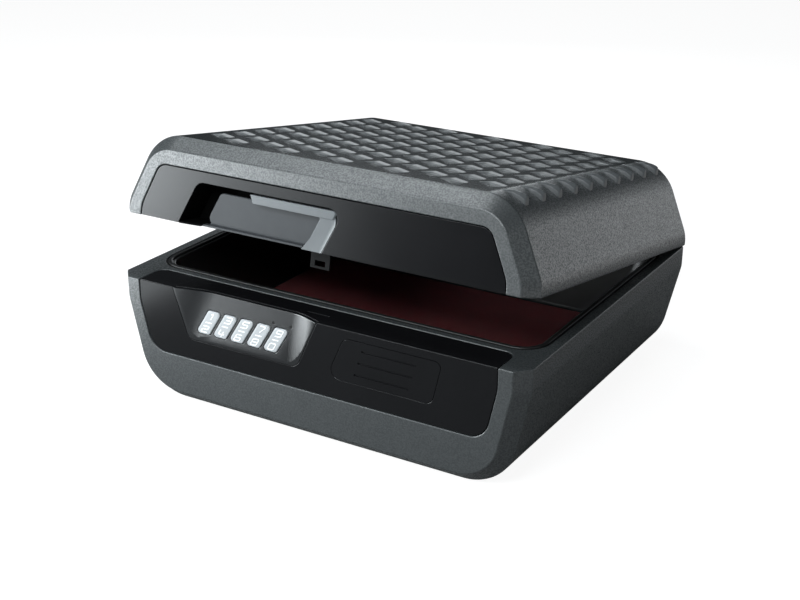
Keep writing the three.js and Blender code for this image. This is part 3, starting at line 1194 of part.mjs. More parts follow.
add(lid, 'lid_shell', lidShell(), CHARCOAL, 0.5);
add(lid, 'lid_insulation', lidInsulation(), STONE, 0.9);
add(lid, 'lid_liner', lidLiner(), BLACK, 0.5);
add(lid, 'lid_gasket', lidGasket(), RUBBER, 0.9);
add(lid, 'lid_panel', lidPanel(), BLACK, 0.15);
add(lid, 'pull_cup', pullCup(), BLACK, 0.5);
add(lid, 'pull_plate', pullPlate(), SATIN_GREY, 0.3);
add(lid, 'pull_trim', pullTrim(), BRIGHT_GREY, 0.35);
add(lid, 'lock_strike', lockStrike(), STEEL, 0.35, 1);
strikeScrewPlaces.forEach((place, i) => add(lid, `strike_screw_${i + 1}`, strikeScrew(place), STEEL, 0.3, 1));

export default group;
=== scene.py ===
# %% [markdown]
# # A digital security chest with its lid ajar
#
# The chest is a low box with thick double walls. Its base holds a felt-floored tub and a black front panel
# with five keys; its lid turns on two pins at the back and stands ten degrees open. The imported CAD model
# gives every place and every joint. This lesson builds the surfaces that a camera sees around it: moulded
# shells with soft edges, polished panels, printed keys and felt.

import math
from contextlib import contextmanager

import bmesh
import bpy
from mathutils import Matrix, Vector


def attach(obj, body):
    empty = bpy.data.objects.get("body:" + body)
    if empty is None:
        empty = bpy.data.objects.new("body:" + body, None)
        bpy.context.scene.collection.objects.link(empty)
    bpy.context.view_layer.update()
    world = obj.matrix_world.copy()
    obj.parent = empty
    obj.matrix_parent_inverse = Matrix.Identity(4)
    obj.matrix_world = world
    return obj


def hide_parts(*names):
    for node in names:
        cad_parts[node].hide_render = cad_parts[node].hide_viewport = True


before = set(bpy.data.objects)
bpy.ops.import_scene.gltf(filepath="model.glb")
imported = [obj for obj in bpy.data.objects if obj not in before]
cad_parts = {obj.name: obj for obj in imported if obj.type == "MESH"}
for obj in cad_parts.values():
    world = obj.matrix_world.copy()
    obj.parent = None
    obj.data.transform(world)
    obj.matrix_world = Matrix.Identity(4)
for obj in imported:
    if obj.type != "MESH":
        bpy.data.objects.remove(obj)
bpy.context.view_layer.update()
print("CAD nodes:", len(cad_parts))

# %% [markdown]
# ## Sizes
#
# All lengths are in millimetres and become metres only when a piece is finished. The origin is the bottom
# centre of the base, x runs along the width and the front faces -y. A gap between two parts is a seam, and
# a body that cuts another runs a millimetre or more past the skin it cuts.

# %% Sizes of the whole chest
WIDTH = 390
DEPTH = 318
BASE_HEIGHT = 107
LID_HEIGHT = 70
PARTING_GAP = 0.6
SEAM = 0.3
FRONT = -DEPTH / 2
BACK = DEPTH / 2
HALF = WIDTH / 2

HINGE_Y = BACK - 4.7
HINGE_Z = BASE_HEIGHT - 19.3
LID_HINGE_Z = HINGE_Z - BASE_HEIGHT - PARTING_GAP
LID_AJAR = math.radians(10.1)

CHAMFER_DEPTH = 12
CHAMFER_SIDE = 11
PANEL_INSET = 23.5
PANEL_FRONT = FRONT + 0.5
PANEL_BACK = PANEL_FRONT + 4
LEDGE_TOP = BASE_HEIGHT - 0.2
MM = 0.001
print("chest", WIDTH, "by", DEPTH, "mm, hinge pins at height", round(HINGE_Z, 1))

# %% [markdown]
# ## Camera
#
# The view was fitted to the photograph: the lens and the place follow from the edges of the chest. A long
# lens a little above the rim shows the front, the right side and the top of the lid.


# %% Camera
def added(name, data):
    """A new object in the scene."""
    obj = bpy.data.objects.new(name, data)
    bpy.context.scene.collection.objects.link(obj)
    return obj


CAMERA_PLACE = Vector((0.594328, -0.992556, 0.545855))
CAMERA_AZIMUTH = math.radians(31.281)
CAMERA_ELEVATION = math.radians(22.425)
camera_data = bpy.data.cameras.new("camera")
camera_data.sensor_width = 36
camera_data.lens = 63.215
camera = added("camera", camera_data)
camera.location = CAMERA_PLACE
camera.rotation_euler = (math.pi / 2 - CAMERA_ELEVATION, 0, CAMERA_AZIMUTH)
bpy.context.scene.camera = camera
print("camera", [round(v, 3) for v in camera.location])

# %% [markdown]
# ## Outlines and bodies
#
# Moulded parts start as flat outlines with rounded corners. An outline is a list of corners (a, b, radius),
# and a body is a skin drawn through equal outlines at several stations. Cutting and joining use Boolean
# modifiers, and a Bevel modifier then breaks the sharp edges, as a mould maker does.


# %% Outlines with rounded corners
def rounded(corners, steps=8):
    points = []
    count = len(corners)
    radii = [corner[2] if len(corner) > 2 else 0 for corner in corners]
    for i, corner in enumerate(corners):
        here = Vector(corner[:2])
        before = Vector(corners[i - 1][:2]) - here
        after = Vector(corners[(i + 1) % count][:2]) - here
        turn = math.pi - before.angle(after)
        if radii[i] <= 0 or turn < 1e-6:
            points.append(here)
            continue
        room_before = before.length * (0.49 if radii[i - 1] > 0 else 0.98)
        room_after = after.length * (0.49 if radii[(i + 1) % count] > 0 else 0.98)
        run = min(radii[i] * math.tan(turn / 2), room_before, room_after)
        radius = run / math.tan(turn / 2)
        start = here + before.normalized() * run
        inward = (before.normalized() + after.normalized()).normalized()
        centre = here + inward * (radius / math.cos(turn / 2))
        arm = start - centre
        way = 1 if arm.cross(here - centre) > 0 else -1
        arc_steps = corner[3] if len(corner) > 3 else steps
        for k in range(arc_steps + 1):
            spin = Matrix.Rotation(way * turn * k / arc_steps, 2)
            points.append(centre + spin @ arm)
    return points


def grown(corners, distance):
    """The outline with every side moved outward, and its corner radii with it."""
    count = len(corners)
    area = 0
    for i, (a, b, *_) in enumerate(corners):
        c, d, *_ = corners[(i + 1) % count]
        area += a * d - c * b
    side = 1 if area > 0 else -1

    def outward(start, end):
        return Vector((end[1] - start[1], start[0] - end[0])).normalized() * side

    result = []
    for i, corner in enumerate(corners):
        one = outward(corners[i - 1], corner)
        two = outward(corner, corners[(i + 1) % count])
        step = distance / (1 + one.dot(two))
        radius = corner[2] if len(corner) > 2 else 0
        bulges = one.cross(two) * side > 0
        wider = max(radius + (distance if bulges else -distance), 0.1) if radius > 0 else 0
        rest = corner[3:]
        result.append((corner[0] + step * (one.x + two.x), corner[1] + step * (one.y + two.y), wider, *rest))
    return result


# %% Bodies
@contextmanager
def edited(mesh):
    """Opens a mesh for a change and writes it back afterwards."""
    work = bmesh.new()
    work.from_mesh(mesh)
    yield work
    work.to_mesh(mesh)
    work.free()


def new_object(name, vertices, faces):
    mesh = bpy.data.meshes.new(name)
    mesh.from_pydata([tuple(v) for v in vertices], [], faces)
    obj = added(name, mesh)
    with edited(mesh) as work:
        bmesh.ops.remove_doubles(work, verts=work.verts, dist=1e-4)
        bmesh.ops.recalc_face_normals(work, faces=work.faces)
    return obj


def loft(rings, closed_end=False):
    """A closed body through rings of equally many points."""
    count = len(rings[0])
    vertices = [point for ring in rings for point in ring]
    faces = []
    for j in range(len(rings) - 1 + int(closed_end)):
        low = j * count
        high = ((j + 1) % len(rings)) * count
        for i in range(count):
            k = (i + 1) % count
            faces.append((low + i, low + k, high + k, high + i))
    if not closed_end:
        faces.append(tuple(reversed(range(count))))
        last = (len(rings) - 1) * count
        faces.append(tuple(range(last, last + count)))
    return new_object("body", vertices, faces)


def ring_y(corners, y, steps=8):
    return [(p.x, y, p.y) for p in rounded(corners, steps)]


def ring_z(corners, z):
    return [(p.x, p.y, z) for p in rounded(corners)]


def slab_y(corners, start, end, steps=8):
    return loft([ring_y(corners, start, steps), ring_y(corners, end, steps)])


def slab_z(corners, start, end):
    return loft([ring_z(corners, start), ring_z(corners, end)])


def box(x0, x1, y0, y1, z0, z1):
    return slab_z([(x0, y0), (x1, y0), (x1, y1), (x0, y1)], z0, z1)


def bar(start, end, radius, sides=24):
    """A round bar from one point to another."""
    start = Vector(start)
    run = Vector(end) - start
    turn = Vector((0, 0, 1)).rotation_difference(run)
    circle = [Vector((radius * math.cos(a), radius * math.sin(a), 0))
              for a in (2 * math.pi * k / sides for k in range(sides))]
    return loft([[start + turn @ p for p in circle], [start + run + turn @ p for p in circle]])


# %% Cutting, joining and breaking edges
def baked(obj):
    """Applies the modifiers of an object to its mesh."""
    graph = bpy.context.evaluated_depsgraph_get()
    mesh = bpy.data.meshes.new_from_object(obj.evaluated_get(graph))
    obj.modifiers.clear()
    old = obj.data
    obj.data = mesh
    bpy.data.meshes.remove(old)
    return obj


def combined(body, tools, operation):
    for tool in tools:
        step = body.modifiers.new("step", "BOOLEAN")
        step.operation = operation
        step.solver = "EXACT"
        step.object = tool
    baked(body)
    for tool in tools:
        bpy.data.objects.remove(tool)
    return body


def cut(body, *tools):
    return combined(body, tools, "DIFFERENCE")


def join(body, *tools):
    return combined(body, tools, "UNION")


def overlap(body, tool):
    return combined(body, [tool], "INTERSECT")


def cleaned(body):
    """Merges flat neighbours and drops doubled points, so that bevels run evenly."""
    with edited(body.data) as work:
        bmesh.ops.remove_doubles(work, verts=work.verts, dist=2e-3)
        bmesh.ops.dissolve_limit(work, angle_limit=math.radians(0.4), verts=work.verts, edges=work.edges)
    return body


def softened(body, width, segments=3, angle=24):
    cleaned(body)
    bevel = body.modifiers.new("bevel", "BEVEL")
    bevel.width = width
    bevel.segments = segments
    bevel.limit_method = "ANGLE"
    bevel.angle_limit = math.radians(angle)
    bevel.use_clamp_overlap = False
    bevel.miter_outer = "MITER_ARC"
    return baked(body)


# %% Finishing a piece
def lid_place(point):
    """From the lid's own drawing to its place on the chest, turned open about the hinge pins."""
    y = point[1] - HINGE_Y
    z = point[2] - LID_HINGE_Z
    cos, sin = math.cos(LID_AJAR), math.sin(LID_AJAR)
    return Vector((point[0], HINGE_Y + y * cos + z * sin, HINGE_Z - y * sin + z * cos))


def finished(body, name, rides, finish, stands_for=(), sharp=30):
    for vertex in body.data.vertices:
        place = lid_place(vertex.co) if rides == "lid" else vertex.co
        vertex.co = Vector(place) * MM
    body.name = name
    body.data.name = name
    with edited(body.data) as work:
        for face in work.faces:
            face.smooth = True
        for edge in work.edges:
            edge.smooth = edge.calc_face_angle(0) < math.radians(sharp)
    body.data.materials.clear()
    body.data.materials.append(finish)
    weighted = body.modifiers.new("even_shading", "WEIGHTED_NORMAL")
    weighted.keep_sharp = True
    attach(body, rides)
    if stands_for:
        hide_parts(*stands_for)
    print(name, len(body.data.polygons), "faces")
    return body


# %% [markdown]
# ## Materials as sums
#
# A finish is a small node tree. The class below wraps a socket, so that the maths of a finish reads as
# plain arithmetic, and one method makes every other kind of node.


# %% Shader expressions
class Wire:
    def __init__(self, tree, socket):
        self.tree = tree
        self.socket = socket

    def math(self, operation, left, right=None):
        node = self.tree.nodes.new("ShaderNodeMath")
        node.operation = operation
        for socket, value in zip(node.inputs, (left, right)):
            if isinstance(value, Wire):
                self.tree.links.new(value.socket, socket)
            elif value is not None:
                socket.default_value = value
        return Wire(self.tree, node.outputs[0])

    def __add__(self, other):
        return self.math("ADD", self, other)

    def __radd__(self, other):
        return self.math("ADD", other, self)

    def __sub__(self, other):
        return self.math("SUBTRACT", self, other)

    def __rsub__(self, other):
        return self.math("SUBTRACT", other, self)

    def __mul__(self, other):
        return self.math("MULTIPLY", self, other)

    def __rmul__(self, other):
        return self.math("MULTIPLY", other, self)

    def __truediv__(self, other):
        return self.math("DIVIDE", self, other)

    def __rtruediv__(self, other):
        return self.math("DIVIDE", other, self)

    def clamped(self):
        return self.math("MAXIMUM", self.math("MINIMUM", self, 1.0), 0.0)

    def absolute(self):
        return self.math("ABSOLUTE", self)

    def root(self):
        return self.math("SQRT", self)


MIX_FACTOR = 0
MIX_COLOUR_A = 6
MIX_COLOUR_B = 7
MIX_COLOUR_OUT = 2


class Finish:
    """One material. Its method node() makes any node from its type, its settings and its sockets' values."""

    def __init__(self, name):
        self.material = bpy.data.materials.new(name)
        self.material.use_nodes = True
        self.tree = self.material.node_tree
        self.tree.nodes.clear()

    def node(self, kind, sockets=None, output=0, **settings):
        node = self.tree.nodes.new(kind)
        for setting, value in settings.items():
            setattr(node, setting, value)
        for socket, value in (sockets or {}).items():
            if isinstance(value, Wire):
                self.tree.links.new(value.socket, node.inputs[socket])
            else:
                node.inputs[socket].default_value = value
        if not len(node.outputs):
            return None
        if isinstance(output, tuple):
            return [Wire(self.tree, node.outputs[one]) for one in output]
        return Wire(self.tree, node.outputs[output])

    def place(self):
        return self.node("ShaderNodeTexCoord", output="Object")

    def noise(self, size_mm, detail=2.0, roughness=0.5):
        return self.node("ShaderNodeTexNoise", {
            "Vector": self.place(),
            "Scale": 1000 / size_mm,
            "Detail": detail,
            "Roughness": roughness,
        })

    def colour_mix(self, mask, low, high):
        """A colour that runs from one to another as the mask runs from 0 to 1."""
        sockets = {MIX_FACTOR: mask, MIX_COLOUR_A: (*low, 1), MIX_COLOUR_B: (*high, 1)}
        return self.node("ShaderNodeMix", sockets, output=MIX_COLOUR_OUT, data_type="RGBA")

    def bump(self, height, depth_mm):
        return self.node("ShaderNodeBump", {"Height": height, "Distance": depth_mm * MM, "Strength": 1.0})

    def surface(self, **sockets):
        named = {}
        for name, value in sockets.items():
            named[name.replace("_", " ").title().replace("Ior", "IOR")] = value
        shader = self.node("ShaderNodeBsdfPrincipled", named)
        self.node("ShaderNodeOutputMaterial", {"Surface": shader})
        return self.material


# %% [markdown]
# ## Shell finish
#
# The shells are charcoal plastic with a cast-in grain. Close by, the grain is a field of small soft pebbles
# that catch the light as sparkle. From a step away it only widens the highlights. A fine noise makes the
# pebbles, a finer one the specks on them, and a broad one shifts the tone a little. The flat top of the
# lid is smooth, so a mask calms the grain there. The same mask darkens its colour as painted shade, which
# lets the raised lozenges stand out.


# %% Charcoal shell plastic
SHELL_DARK = (0.022, 0.025, 0.026)
SHELL_LIGHT = (0.050, 0.056, 0.058)
SHELL_ROUGH = 0.44
CALM_ROUGH = 0.14
PEBBLE_SIZE = 1.3
PEBBLE_DEPTH = 0.22
SPECK_SIZE = 0.6
SHADE_SIZE = 38


def shell_finish(name, calm_and_shade=None):
    finish = Finish(name)
    pebbles = finish.noise(PEBBLE_SIZE, detail=1.0)
    broad = finish.noise(SHADE_SIZE, detail=2)
    speck = finish.noise(SPECK_SIZE, detail=1)
    shade = pebbles * 0.45 + speck * 0.25 + broad * 0.30
    # Where the mask calms the grain, the colour also drops towards the dark end: painted shade on the lid's
    # top.
    grain = 1.0 - (calm_and_shade(finish) if calm_and_shade else 0.0)
    tops = ((pebbles - 0.5) * 4 + 0.5).clamped()
    return finish.surface(
        base_color=finish.colour_mix(shade * (0.3 + grain * 0.7), SHELL_DARK, SHELL_LIGHT),
        roughness=CALM_ROUGH + (SHELL_ROUGH - CALM_ROUGH + (0.5 - pebbles) * 0.3) * grain,
        specular_ior_level=0.7,
        coat_weight=tops * grain,
        coat_roughness=0.40,
        normal=finish.bump(pebbles * grain, PEBBLE_DEPTH),
    )


TOP_BELOW = 0.35
TOP_RUN = 0.25


def lid_top(finish):
    """A mask that runs from 0 to 1 just under the lid's flat top."""
    y, z = finish.node("ShaderNodeSeparateXYZ", {"Vector": finish.place()}, output=("Y", "Z"))
    height = (y - HINGE_Y * MM) * math.sin(LID_AJAR) + (z - HINGE_Z * MM) * math.cos(LID_AJAR)
    start = LID_HEIGHT - LID_HINGE_Z - TOP_BELOW
    return ((height - start * MM) / (TOP_RUN * MM)).clamped()


charcoal = shell_finish("charcoal_shell")
# The lid's flat top is smooth, and its colour is darkened there as painted shade.
lid_charcoal = shell_finish("charcoal_lid", calm_and_shade=lid_top)
print("shell finish ready")

# %% [markdown]
# ## Panel finish
#
# The front panels are black plastic with a polish. A gloss black looks right only through what it mirrors,
# so the colour stays near black and the faint waviness of a moulded sheet breaks the mirror a little.


# %% Polished black, satin greys, rubber and steel
def plain_finish(name, dark, light, rough, spread=0.06, grain_mm=3, bump_mm=0.0, bump_size=0.5, **more):
    finish = Finish(name)
    cloud = finish.noise(grain_mm, detail=3)
    sockets = {
        "base_color": finish.colour_mix(cloud, dark, light),
        "roughness": rough + (cloud - 0.5) * spread,
    }
    if bump_mm:
        sockets["normal"] = finish.bump(finish.noise(bump_size, detail=2), bump_mm)
    sockets.update(more)
    return finish.surface(**sockets)


gloss_black = plain_finish("panel_gloss_black", (0.004, 0.004, 0.0045), (0.007, 0.007, 0.008), 0.22,
                           spread=0.05, grain_mm=60, specular_ior_level=0.28)
liner_black = plain_finish("liner_black", (0.006, 0.006, 0.006), (0.012, 0.012, 0.012), 0.36,
                           spread=0.1, grain_mm=20, bump_mm=0.02, bump_size=1.2)
# The recess cup is black plastic, made darker and duller here than plastic is, as painted shade in the
# recess.
recess_black_painted_shade = plain_finish("recess_black_painted_shade", (0.002, 0.002, 0.002), (0.003, 0.003, 0.003), 0.8,
                            spread=0.1, grain_mm=20, specular_ior_level=0.04)
bezel_grey = plain_finish("bezel_satin_grey", (0.005, 0.005, 0.006), (0.008, 0.009, 0.010), 0.22,
                          grain_mm=8, bump_mm=0.01, specular_ior_level=0.8)
# A lighter grey than the shell: painted sheen on the lozenges, which are the shell's charcoal plastic.
lozenge_painted_sheen = plain_finish("lozenge_painted_sheen", (0.060, 0.065, 0.068), (0.085, 0.091, 0.094), 0.32,
                            bump_mm=0.02, bump_size=0.8, specular_ior_level=0.7)
plate_grey = plain_finish("plate_satin_grey", (0.042, 0.045, 0.049), (0.052, 0.055, 0.059), 0.42,
                          spread=0.08, grain_mm=8, bump_mm=0.01, specular_ior_level=0.2)
trim_grey = plain_finish("trim_silver_grey", (0.100, 0.110, 0.116), (0.118, 0.128, 0.135), 0.36,
                         grain_mm=7, bump_mm=0.01)
key_silver = plain_finish("key_silver", (0.38, 0.395, 0.405), (0.43, 0.445, 0.455), 0.42,
                          bump_mm=0.01, bump_size=0.4)
figure_white = plain_finish("figure_white", (0.86, 0.87, 0.88), (0.92, 0.93, 0.94), 0.5)
rubber_black = plain_finish("rubber_black", (0.012, 0.012, 0.012), (0.020, 0.020, 0.020), 0.75,
                            grain_mm=4, bump_mm=0.03, bump_size=0.6)
steel = plain_finish("plated_steel", (0.20, 0.20, 0.21), (0.27, 0.27, 0.28), 0.34,
                     spread=0.12, grain_mm=2, metallic=1.0)
blackened_steel = plain_finish("blackened_steel", (0.004, 0.004, 0.004), (0.008, 0.008, 0.008), 0.6,
                               spread=0.1, grain_mm=2, specular_ior_level=0.1)
lens_dark = plain_finish("lamp_lens_dark", (0.003, 0.003, 0.003), (0.006, 0.005, 0.005), 0.2,
                         grain_mm=2)
fill_stone = plain_finish("insulation_fill", (0.50, 0.47, 0.40), (0.62, 0.59, 0.52), 0.9,
                          grain_mm=5, bump_mm=0.3, bump_size=2)
board_green = plain_finish("board_green", (0.010, 0.080, 0.035), (0.020, 0.110, 0.050), 0.4)
cell_wrap = plain_finish("cell_wrap", (0.16, 0.17, 0.18), (0.20, 0.21, 0.22), 0.3, grain_mm=10)
coil_tape = plain_finish("coil_tape", (0.14, 0.02, 0.015), (0.20, 0.03, 0.02), 0.55)

# %% [markdown]
# ## Felt
#
# The tub floor is lined with dark red felt. Felt has no direction: short fibres stand every way, so a fine
# noise lifts the surface, a wider one makes worn and fluffed patches, and a little sheen gives the pile.

# %% Felt
felt = Finish("felt_dark_red")
fibre = felt.noise(0.7, detail=4, roughness=0.7)
patch = felt.noise(25, detail=3)
felt_red = felt.surface(
    base_color=felt.colour_mix(fibre * 0.6 + patch * 0.4, (0.10, 0.004, 0.006), (0.30, 0.016, 0.020)),
    roughness=0.85 + fibre * 0.15,
    specular_ior_level=0.1,
    sheen_weight=0.12,
    normal=felt.bump(fibre, 0.5),
)
print("finishes:", len(bpy.data.materials))

# %% [markdown]
# ## Shell sections
#
# Both shells have the same kind of section: a short upright band at the parting line, then a side that
# leans in to a large round corner. Towards the front the section draws in along a chamfer, which frames the
# panel.

# %% Section of a shell
BASE = {"rim": BASE_HEIGHT, "way": -1, "height": BASE_HEIGHT, "straight": 18.4, "draft": 0.227,
        "corner": 46, "frame": 38, "chamfer": 10}
LID = {"rim": 0, "way": 1, "height": LID_HEIGHT, "straight": 9, "draft": 0.468,
       "corner": 40, "frame": 28, "chamfer": 11}
BEND_RADIUS = 30
EDGE_BREAK = 1.5
WALL = 4
FRONT_WALL = 7.5
CORNER_STEPS = 22


def mirrored(right):
    """The whole outline from its right half."""
    return right + [(-x, *rest) for x, *rest in reversed(right)]


def section(shell, side_inset, end_inset, corner, start=0):
    half = HALF - side_inset
    height = shell["height"] - end_inset
    end = half - shell["draft"] * (height - shell["straight"])

    def level(rise):
        return shell["rim"] + shell["way"] * rise

    return mirrored([
        (half, level(start)),
        (half, level(shell["straight"]), BEND_RADIUS, 6),
        (end, level(height), corner, CORNER_STEPS),
    ])


def outer_body(shell):
    return loft([
        ring_y(section(shell, CHAMFER_SIDE, shell["chamfer"], shell["frame"]), FRONT),
        ring_y(section(shell, 0, 0, shell["corner"]), FRONT + CHAMFER_DEPTH),
        ring_y(section(shell, 0, 0, shell["corner"]), BACK - EDGE_BREAK),
        ring_y(section(shell, EDGE_BREAK, EDGE_BREAK, shell["corner"] - EDGE_BREAK), BACK),
    ])


def hollow(shell, start):
    front = FRONT + FRONT_WALL
    reach = 1 - FRONT_WALL / CHAMFER_DEPTH

    def slope(chamfer):
        return chamfer * reach + WALL * math.hypot(chamfer, CHAMFER_DEPTH) / CHAMFER_DEPTH

    corner = shell["corner"] - WALL
    inner = section(shell, WALL, WALL, corner, start)
    return loft([
        ring_y(section(shell, slope(CHAMFER_SIDE), slope(shell["chamfer"]), corner, start), front),
        ring_y(inner, FRONT + CHAMFER_DEPTH + WALL / 2),
        ring_y(inner, BACK - WALL),
    ])


# %% [markdown]
# ## Base shell
#
# The base shell carries the rim, the seat of the front panel and the two hinge pockets. It is one moulding,
# so it is made as one body: the outer form, less the hollow, the rim opening, the panel's seat and the
# pockets. A one millimetre break on all edges gives the thin bright lines that the photograph shows along
# the frame.

# %% Rim opening and panel outlines
RIM_SIDE = 9
RIM_FRONT = 37
RIM_BACK = 19
RIM_CORNER = 25
RIM_STEPS = 12
RIM_THICK = 5.5
RIM_UNDER = BASE_HEIGHT - RIM_THICK
BASE_PANEL_FOOT = BASE_HEIGHT - 62
BASE_PANEL_RADIUS = 18
LEDGE_RADIUS = 9
LEDGE_BACK = FRONT + 30.5
LEDGE_UNDER = LEDGE_TOP - 2.3


def rim_plan(inset, radius=None):
    x = HALF - RIM_SIDE - inset
    front = FRONT + RIM_FRONT + inset
    back = BACK - RIM_BACK - inset
    r = RIM_CORNER - inset if radius is None else radius
    return mirrored([(x, front, r, RIM_STEPS), (x, back, r, RIM_STEPS)])


def panel_outline(shell, end_inset, radius, inset=0, start=0):
    return section(shell, PANEL_INSET + inset, end_inset + inset, radius - inset, start)


def base_panel_outline(inset=0, start=0):
    return panel_outline(BASE, BASE_PANEL_FOOT, BASE_PANEL_RADIUS, inset, start)


ledge_plan = mirrored([(HALF - PANEL_INSET, PANEL_FRONT), (HALF - PANEL_INSET, LEDGE_BACK, LEDGE_RADIUS)])
HINGE_PLACES = (-110, 110)
POCKET_HALF = 19
PIN_RADIUS = 2
LUG_RADIUS = 4.4
POCKET_WALL = 3
POCKET_FLOOR = HINGE_Z - LUG_RADIUS - 1
POCKET_FRONT = HINGE_Y - LUG_RADIUS - POCKET_WALL
PANEL_SEAT = 5

# %% Base shell
base_skin = cut(
    outer_body(BASE),
    hollow(BASE, RIM_THICK),
    slab_z(rim_plan(0), RIM_UNDER - 1, BASE_HEIGHT + 1),
    slab_y(grown(base_panel_outline(), SEAM), FRONT - 1, PANEL_BACK + SEAM),
    slab_z(grown(ledge_plan, SEAM), LEDGE_UNDER - SEAM, BASE_HEIGHT + 1),
    slab_y(base_panel_outline(PANEL_SEAT, -1), FRONT - 1, LEDGE_BACK - PANEL_SEAT),
)
for x in HINGE_PLACES:
    half = POCKET_HALF + POCKET_WALL
    wall_front = POCKET_FRONT - POCKET_WALL
    wall_foot = POCKET_FLOOR - POCKET_WALL
    join(base_skin, box(x - half, x + half, wall_front, BACK - 1, wall_foot, BASE_HEIGHT))
    left, right = x - POCKET_HALF, x + POCKET_HALF
    cut(base_skin, box(left, right, POCKET_FRONT, BACK + 20, POCKET_FLOOR, BASE_HEIGHT + 20))
    reach = half - 0.5
    cut(base_skin, bar((x - reach, HINGE_Y, HINGE_Z), (x + reach, HINGE_Y, HINGE_Z), PIN_RADIUS + SEAM))
softened(base_skin, 0.9)
finished(base_skin, "base_moulding", "base", charcoal, ["base_shell"])

# %% [markdown]
# ## Tub and rim
#
# The liner is one deep moulding: a flat flange in the rim opening, a groove, a raised ridge that the lid's
# gasket meets, and a tub that narrows to the floor. It is drawn as one path from the flange to the floor
# and swept round the opening, which keeps the ridge and the floor corners evenly round.

# %% Tub liner
GROOVE = 2
RIDGE = 3.5
RIDGE_PROUD = 0.5
LIP = 2.5
TUB_INSET = GROOVE + RIDGE + LIP
TUB_DRAW_IN = 14
TUB_FLOOR = 38
LINER_TOP = BASE_HEIGHT - 1.5
LINER_WALL = 1.4
liner_path = rounded([
    (SEAM, RIM_UNDER),
    (SEAM, LINER_TOP, 0.3, 2),
    (GROOVE, LINER_TOP, 0.4, 2),
    (GROOVE, BASE_HEIGHT + RIDGE_PROUD, 1.5, 5),
    (GROOVE + RIDGE, BASE_HEIGHT + RIDGE_PROUD, 1.5, 5),
    (GROOVE + RIDGE + 0.4, LINER_TOP, 0.6, 3),
    (TUB_INSET, LINER_TOP, 1.6, 4),
    (TUB_INSET + TUB_DRAW_IN, TUB_FLOOR, 6, 5),
    (TUB_INSET + TUB_DRAW_IN + 12, TUB_FLOOR),
])


def tub_ring(inset, z):
    radius = max(RIM_CORNER - min(inset, TUB_INSET), 4)
    return ring_z(rim_plan(inset, radius), z)


base_tub = loft([tub_ring(point.x, point.y) for point in liner_path])
with edited(base_tub.data) as work:
    caps = [face for face in work.faces if len(face.verts) > 4]
    low_cap = [face for face in caps if abs(face.calc_center_median().z - RIM_UNDER) < 0.1]
    bmesh.ops.delete(work, geom=low_cap, context="FACES")
thick = base_tub.modifiers.new("wall", "SOLIDIFY")
thick.thickness = LINER_WALL
thick.offset = -1
baked(base_tub)
finished(base_tub, "tub_liner", "base", liner_black, ["base_liner"], sharp=40)

# %% Felt mat
mat_inset = TUB_INSET + TUB_DRAW_IN + 1.3
mat_low = TUB_FLOOR + SEAM
felt_mat = loft([
    ring_z(rim_plan(mat_inset, 15), mat_low),
    ring_z(rim_plan(mat_inset, 15), mat_low + 0.9),
    ring_z(rim_plan(mat_inset + 0.25, 14.75), mat_low + 1.3),
    ring_z(rim_plan(mat_inset + 0.7, 14.3), mat_low + 1.5),
])
finished(felt_mat, "felt_mat", "base", felt_red, ["floor_mat"])

# %% [markdown]
# ## Front panel
#
# The base panel is a polished black sheet that folds back over the rim as a ledge. The keypad is let into
# it at the left and the battery cover at the right, and a slot in the ledge takes the lid's blade.

# %% Keypad and cover outlines
KEYPAD_FOOT = BASE_HEIGHT - 43.5
KEYPAD_SETBACK = 7.5
KEYPAD_TILT = math.atan(KEYPAD_SETBACK / (LEDGE_TOP - KEYPAD_FOOT))
LEFT_SLOPE = 31
LEFT_BLEND = 2.4
RIGHT_SLOPE = 20
RIGHT_BLEND = 3
BEZEL_WALL = 2.2


def leaning_edge(at_foot, lean, foot):
    """An edge that leans: a function that gives its x at a height z."""
    return lambda z: at_foot + lean * (z - foot)


def between(left, right, low, high, corners):
    """An outline between two leaning edges. Each corner, from the low left, has its radius and steps."""
    ends = ((left, low), (right, low), (right, high), (left, high))
    return [(edge(z), z, *corner) for (edge, z), corner in zip(ends, corners)]


keypad_left = leaning_edge(-120.6, -0.333, KEYPAD_FOOT)
keypad_right = leaning_edge(-10.4, 0.473, KEYPAD_FOOT)
keypad_outline = between(keypad_left, keypad_right, KEYPAD_FOOT, LEDGE_TOP, ((8,), (10,), (), ()))
COVER_TOP = BASE_HEIGHT - 7.5
COVER_FOOT = COVER_TOP - 37
COVER_THICK = 2.2
cover_left = leaning_edge(19, 0.47, COVER_FOOT)
cover_right = leaning_edge(115.5, 0.24, COVER_FOOT)
cover_outline = between(cover_left, cover_right, COVER_FOOT, COVER_TOP, ((8,), (8,), (5,), (8,)))
print("keypad leans back", round(math.degrees(KEYPAD_TILT), 1), "degrees")


def dish_depth(x, z):
    """How far the bezel lies behind the front plane: the shallowest of two side slopes and a leaning face."""
    left = (x - keypad_left(z)) * KEYPAD_SETBACK / LEFT_SLOPE
    right = (keypad_right(z) - x) * KEYPAD_SETBACK / RIGHT_SLOPE
    face = (z - KEYPAD_FOOT) * math.tan(KEYPAD_TILT)

    def least(a, b, k):
        h = max(k - abs(a - b), 0) / k
        return min(a, b) - h * h * k / 4

    return least(least(left, face, LEFT_BLEND), right, RIGHT_BLEND)


DISH_GRID = (90, 34)
DISH_MARGIN = 4


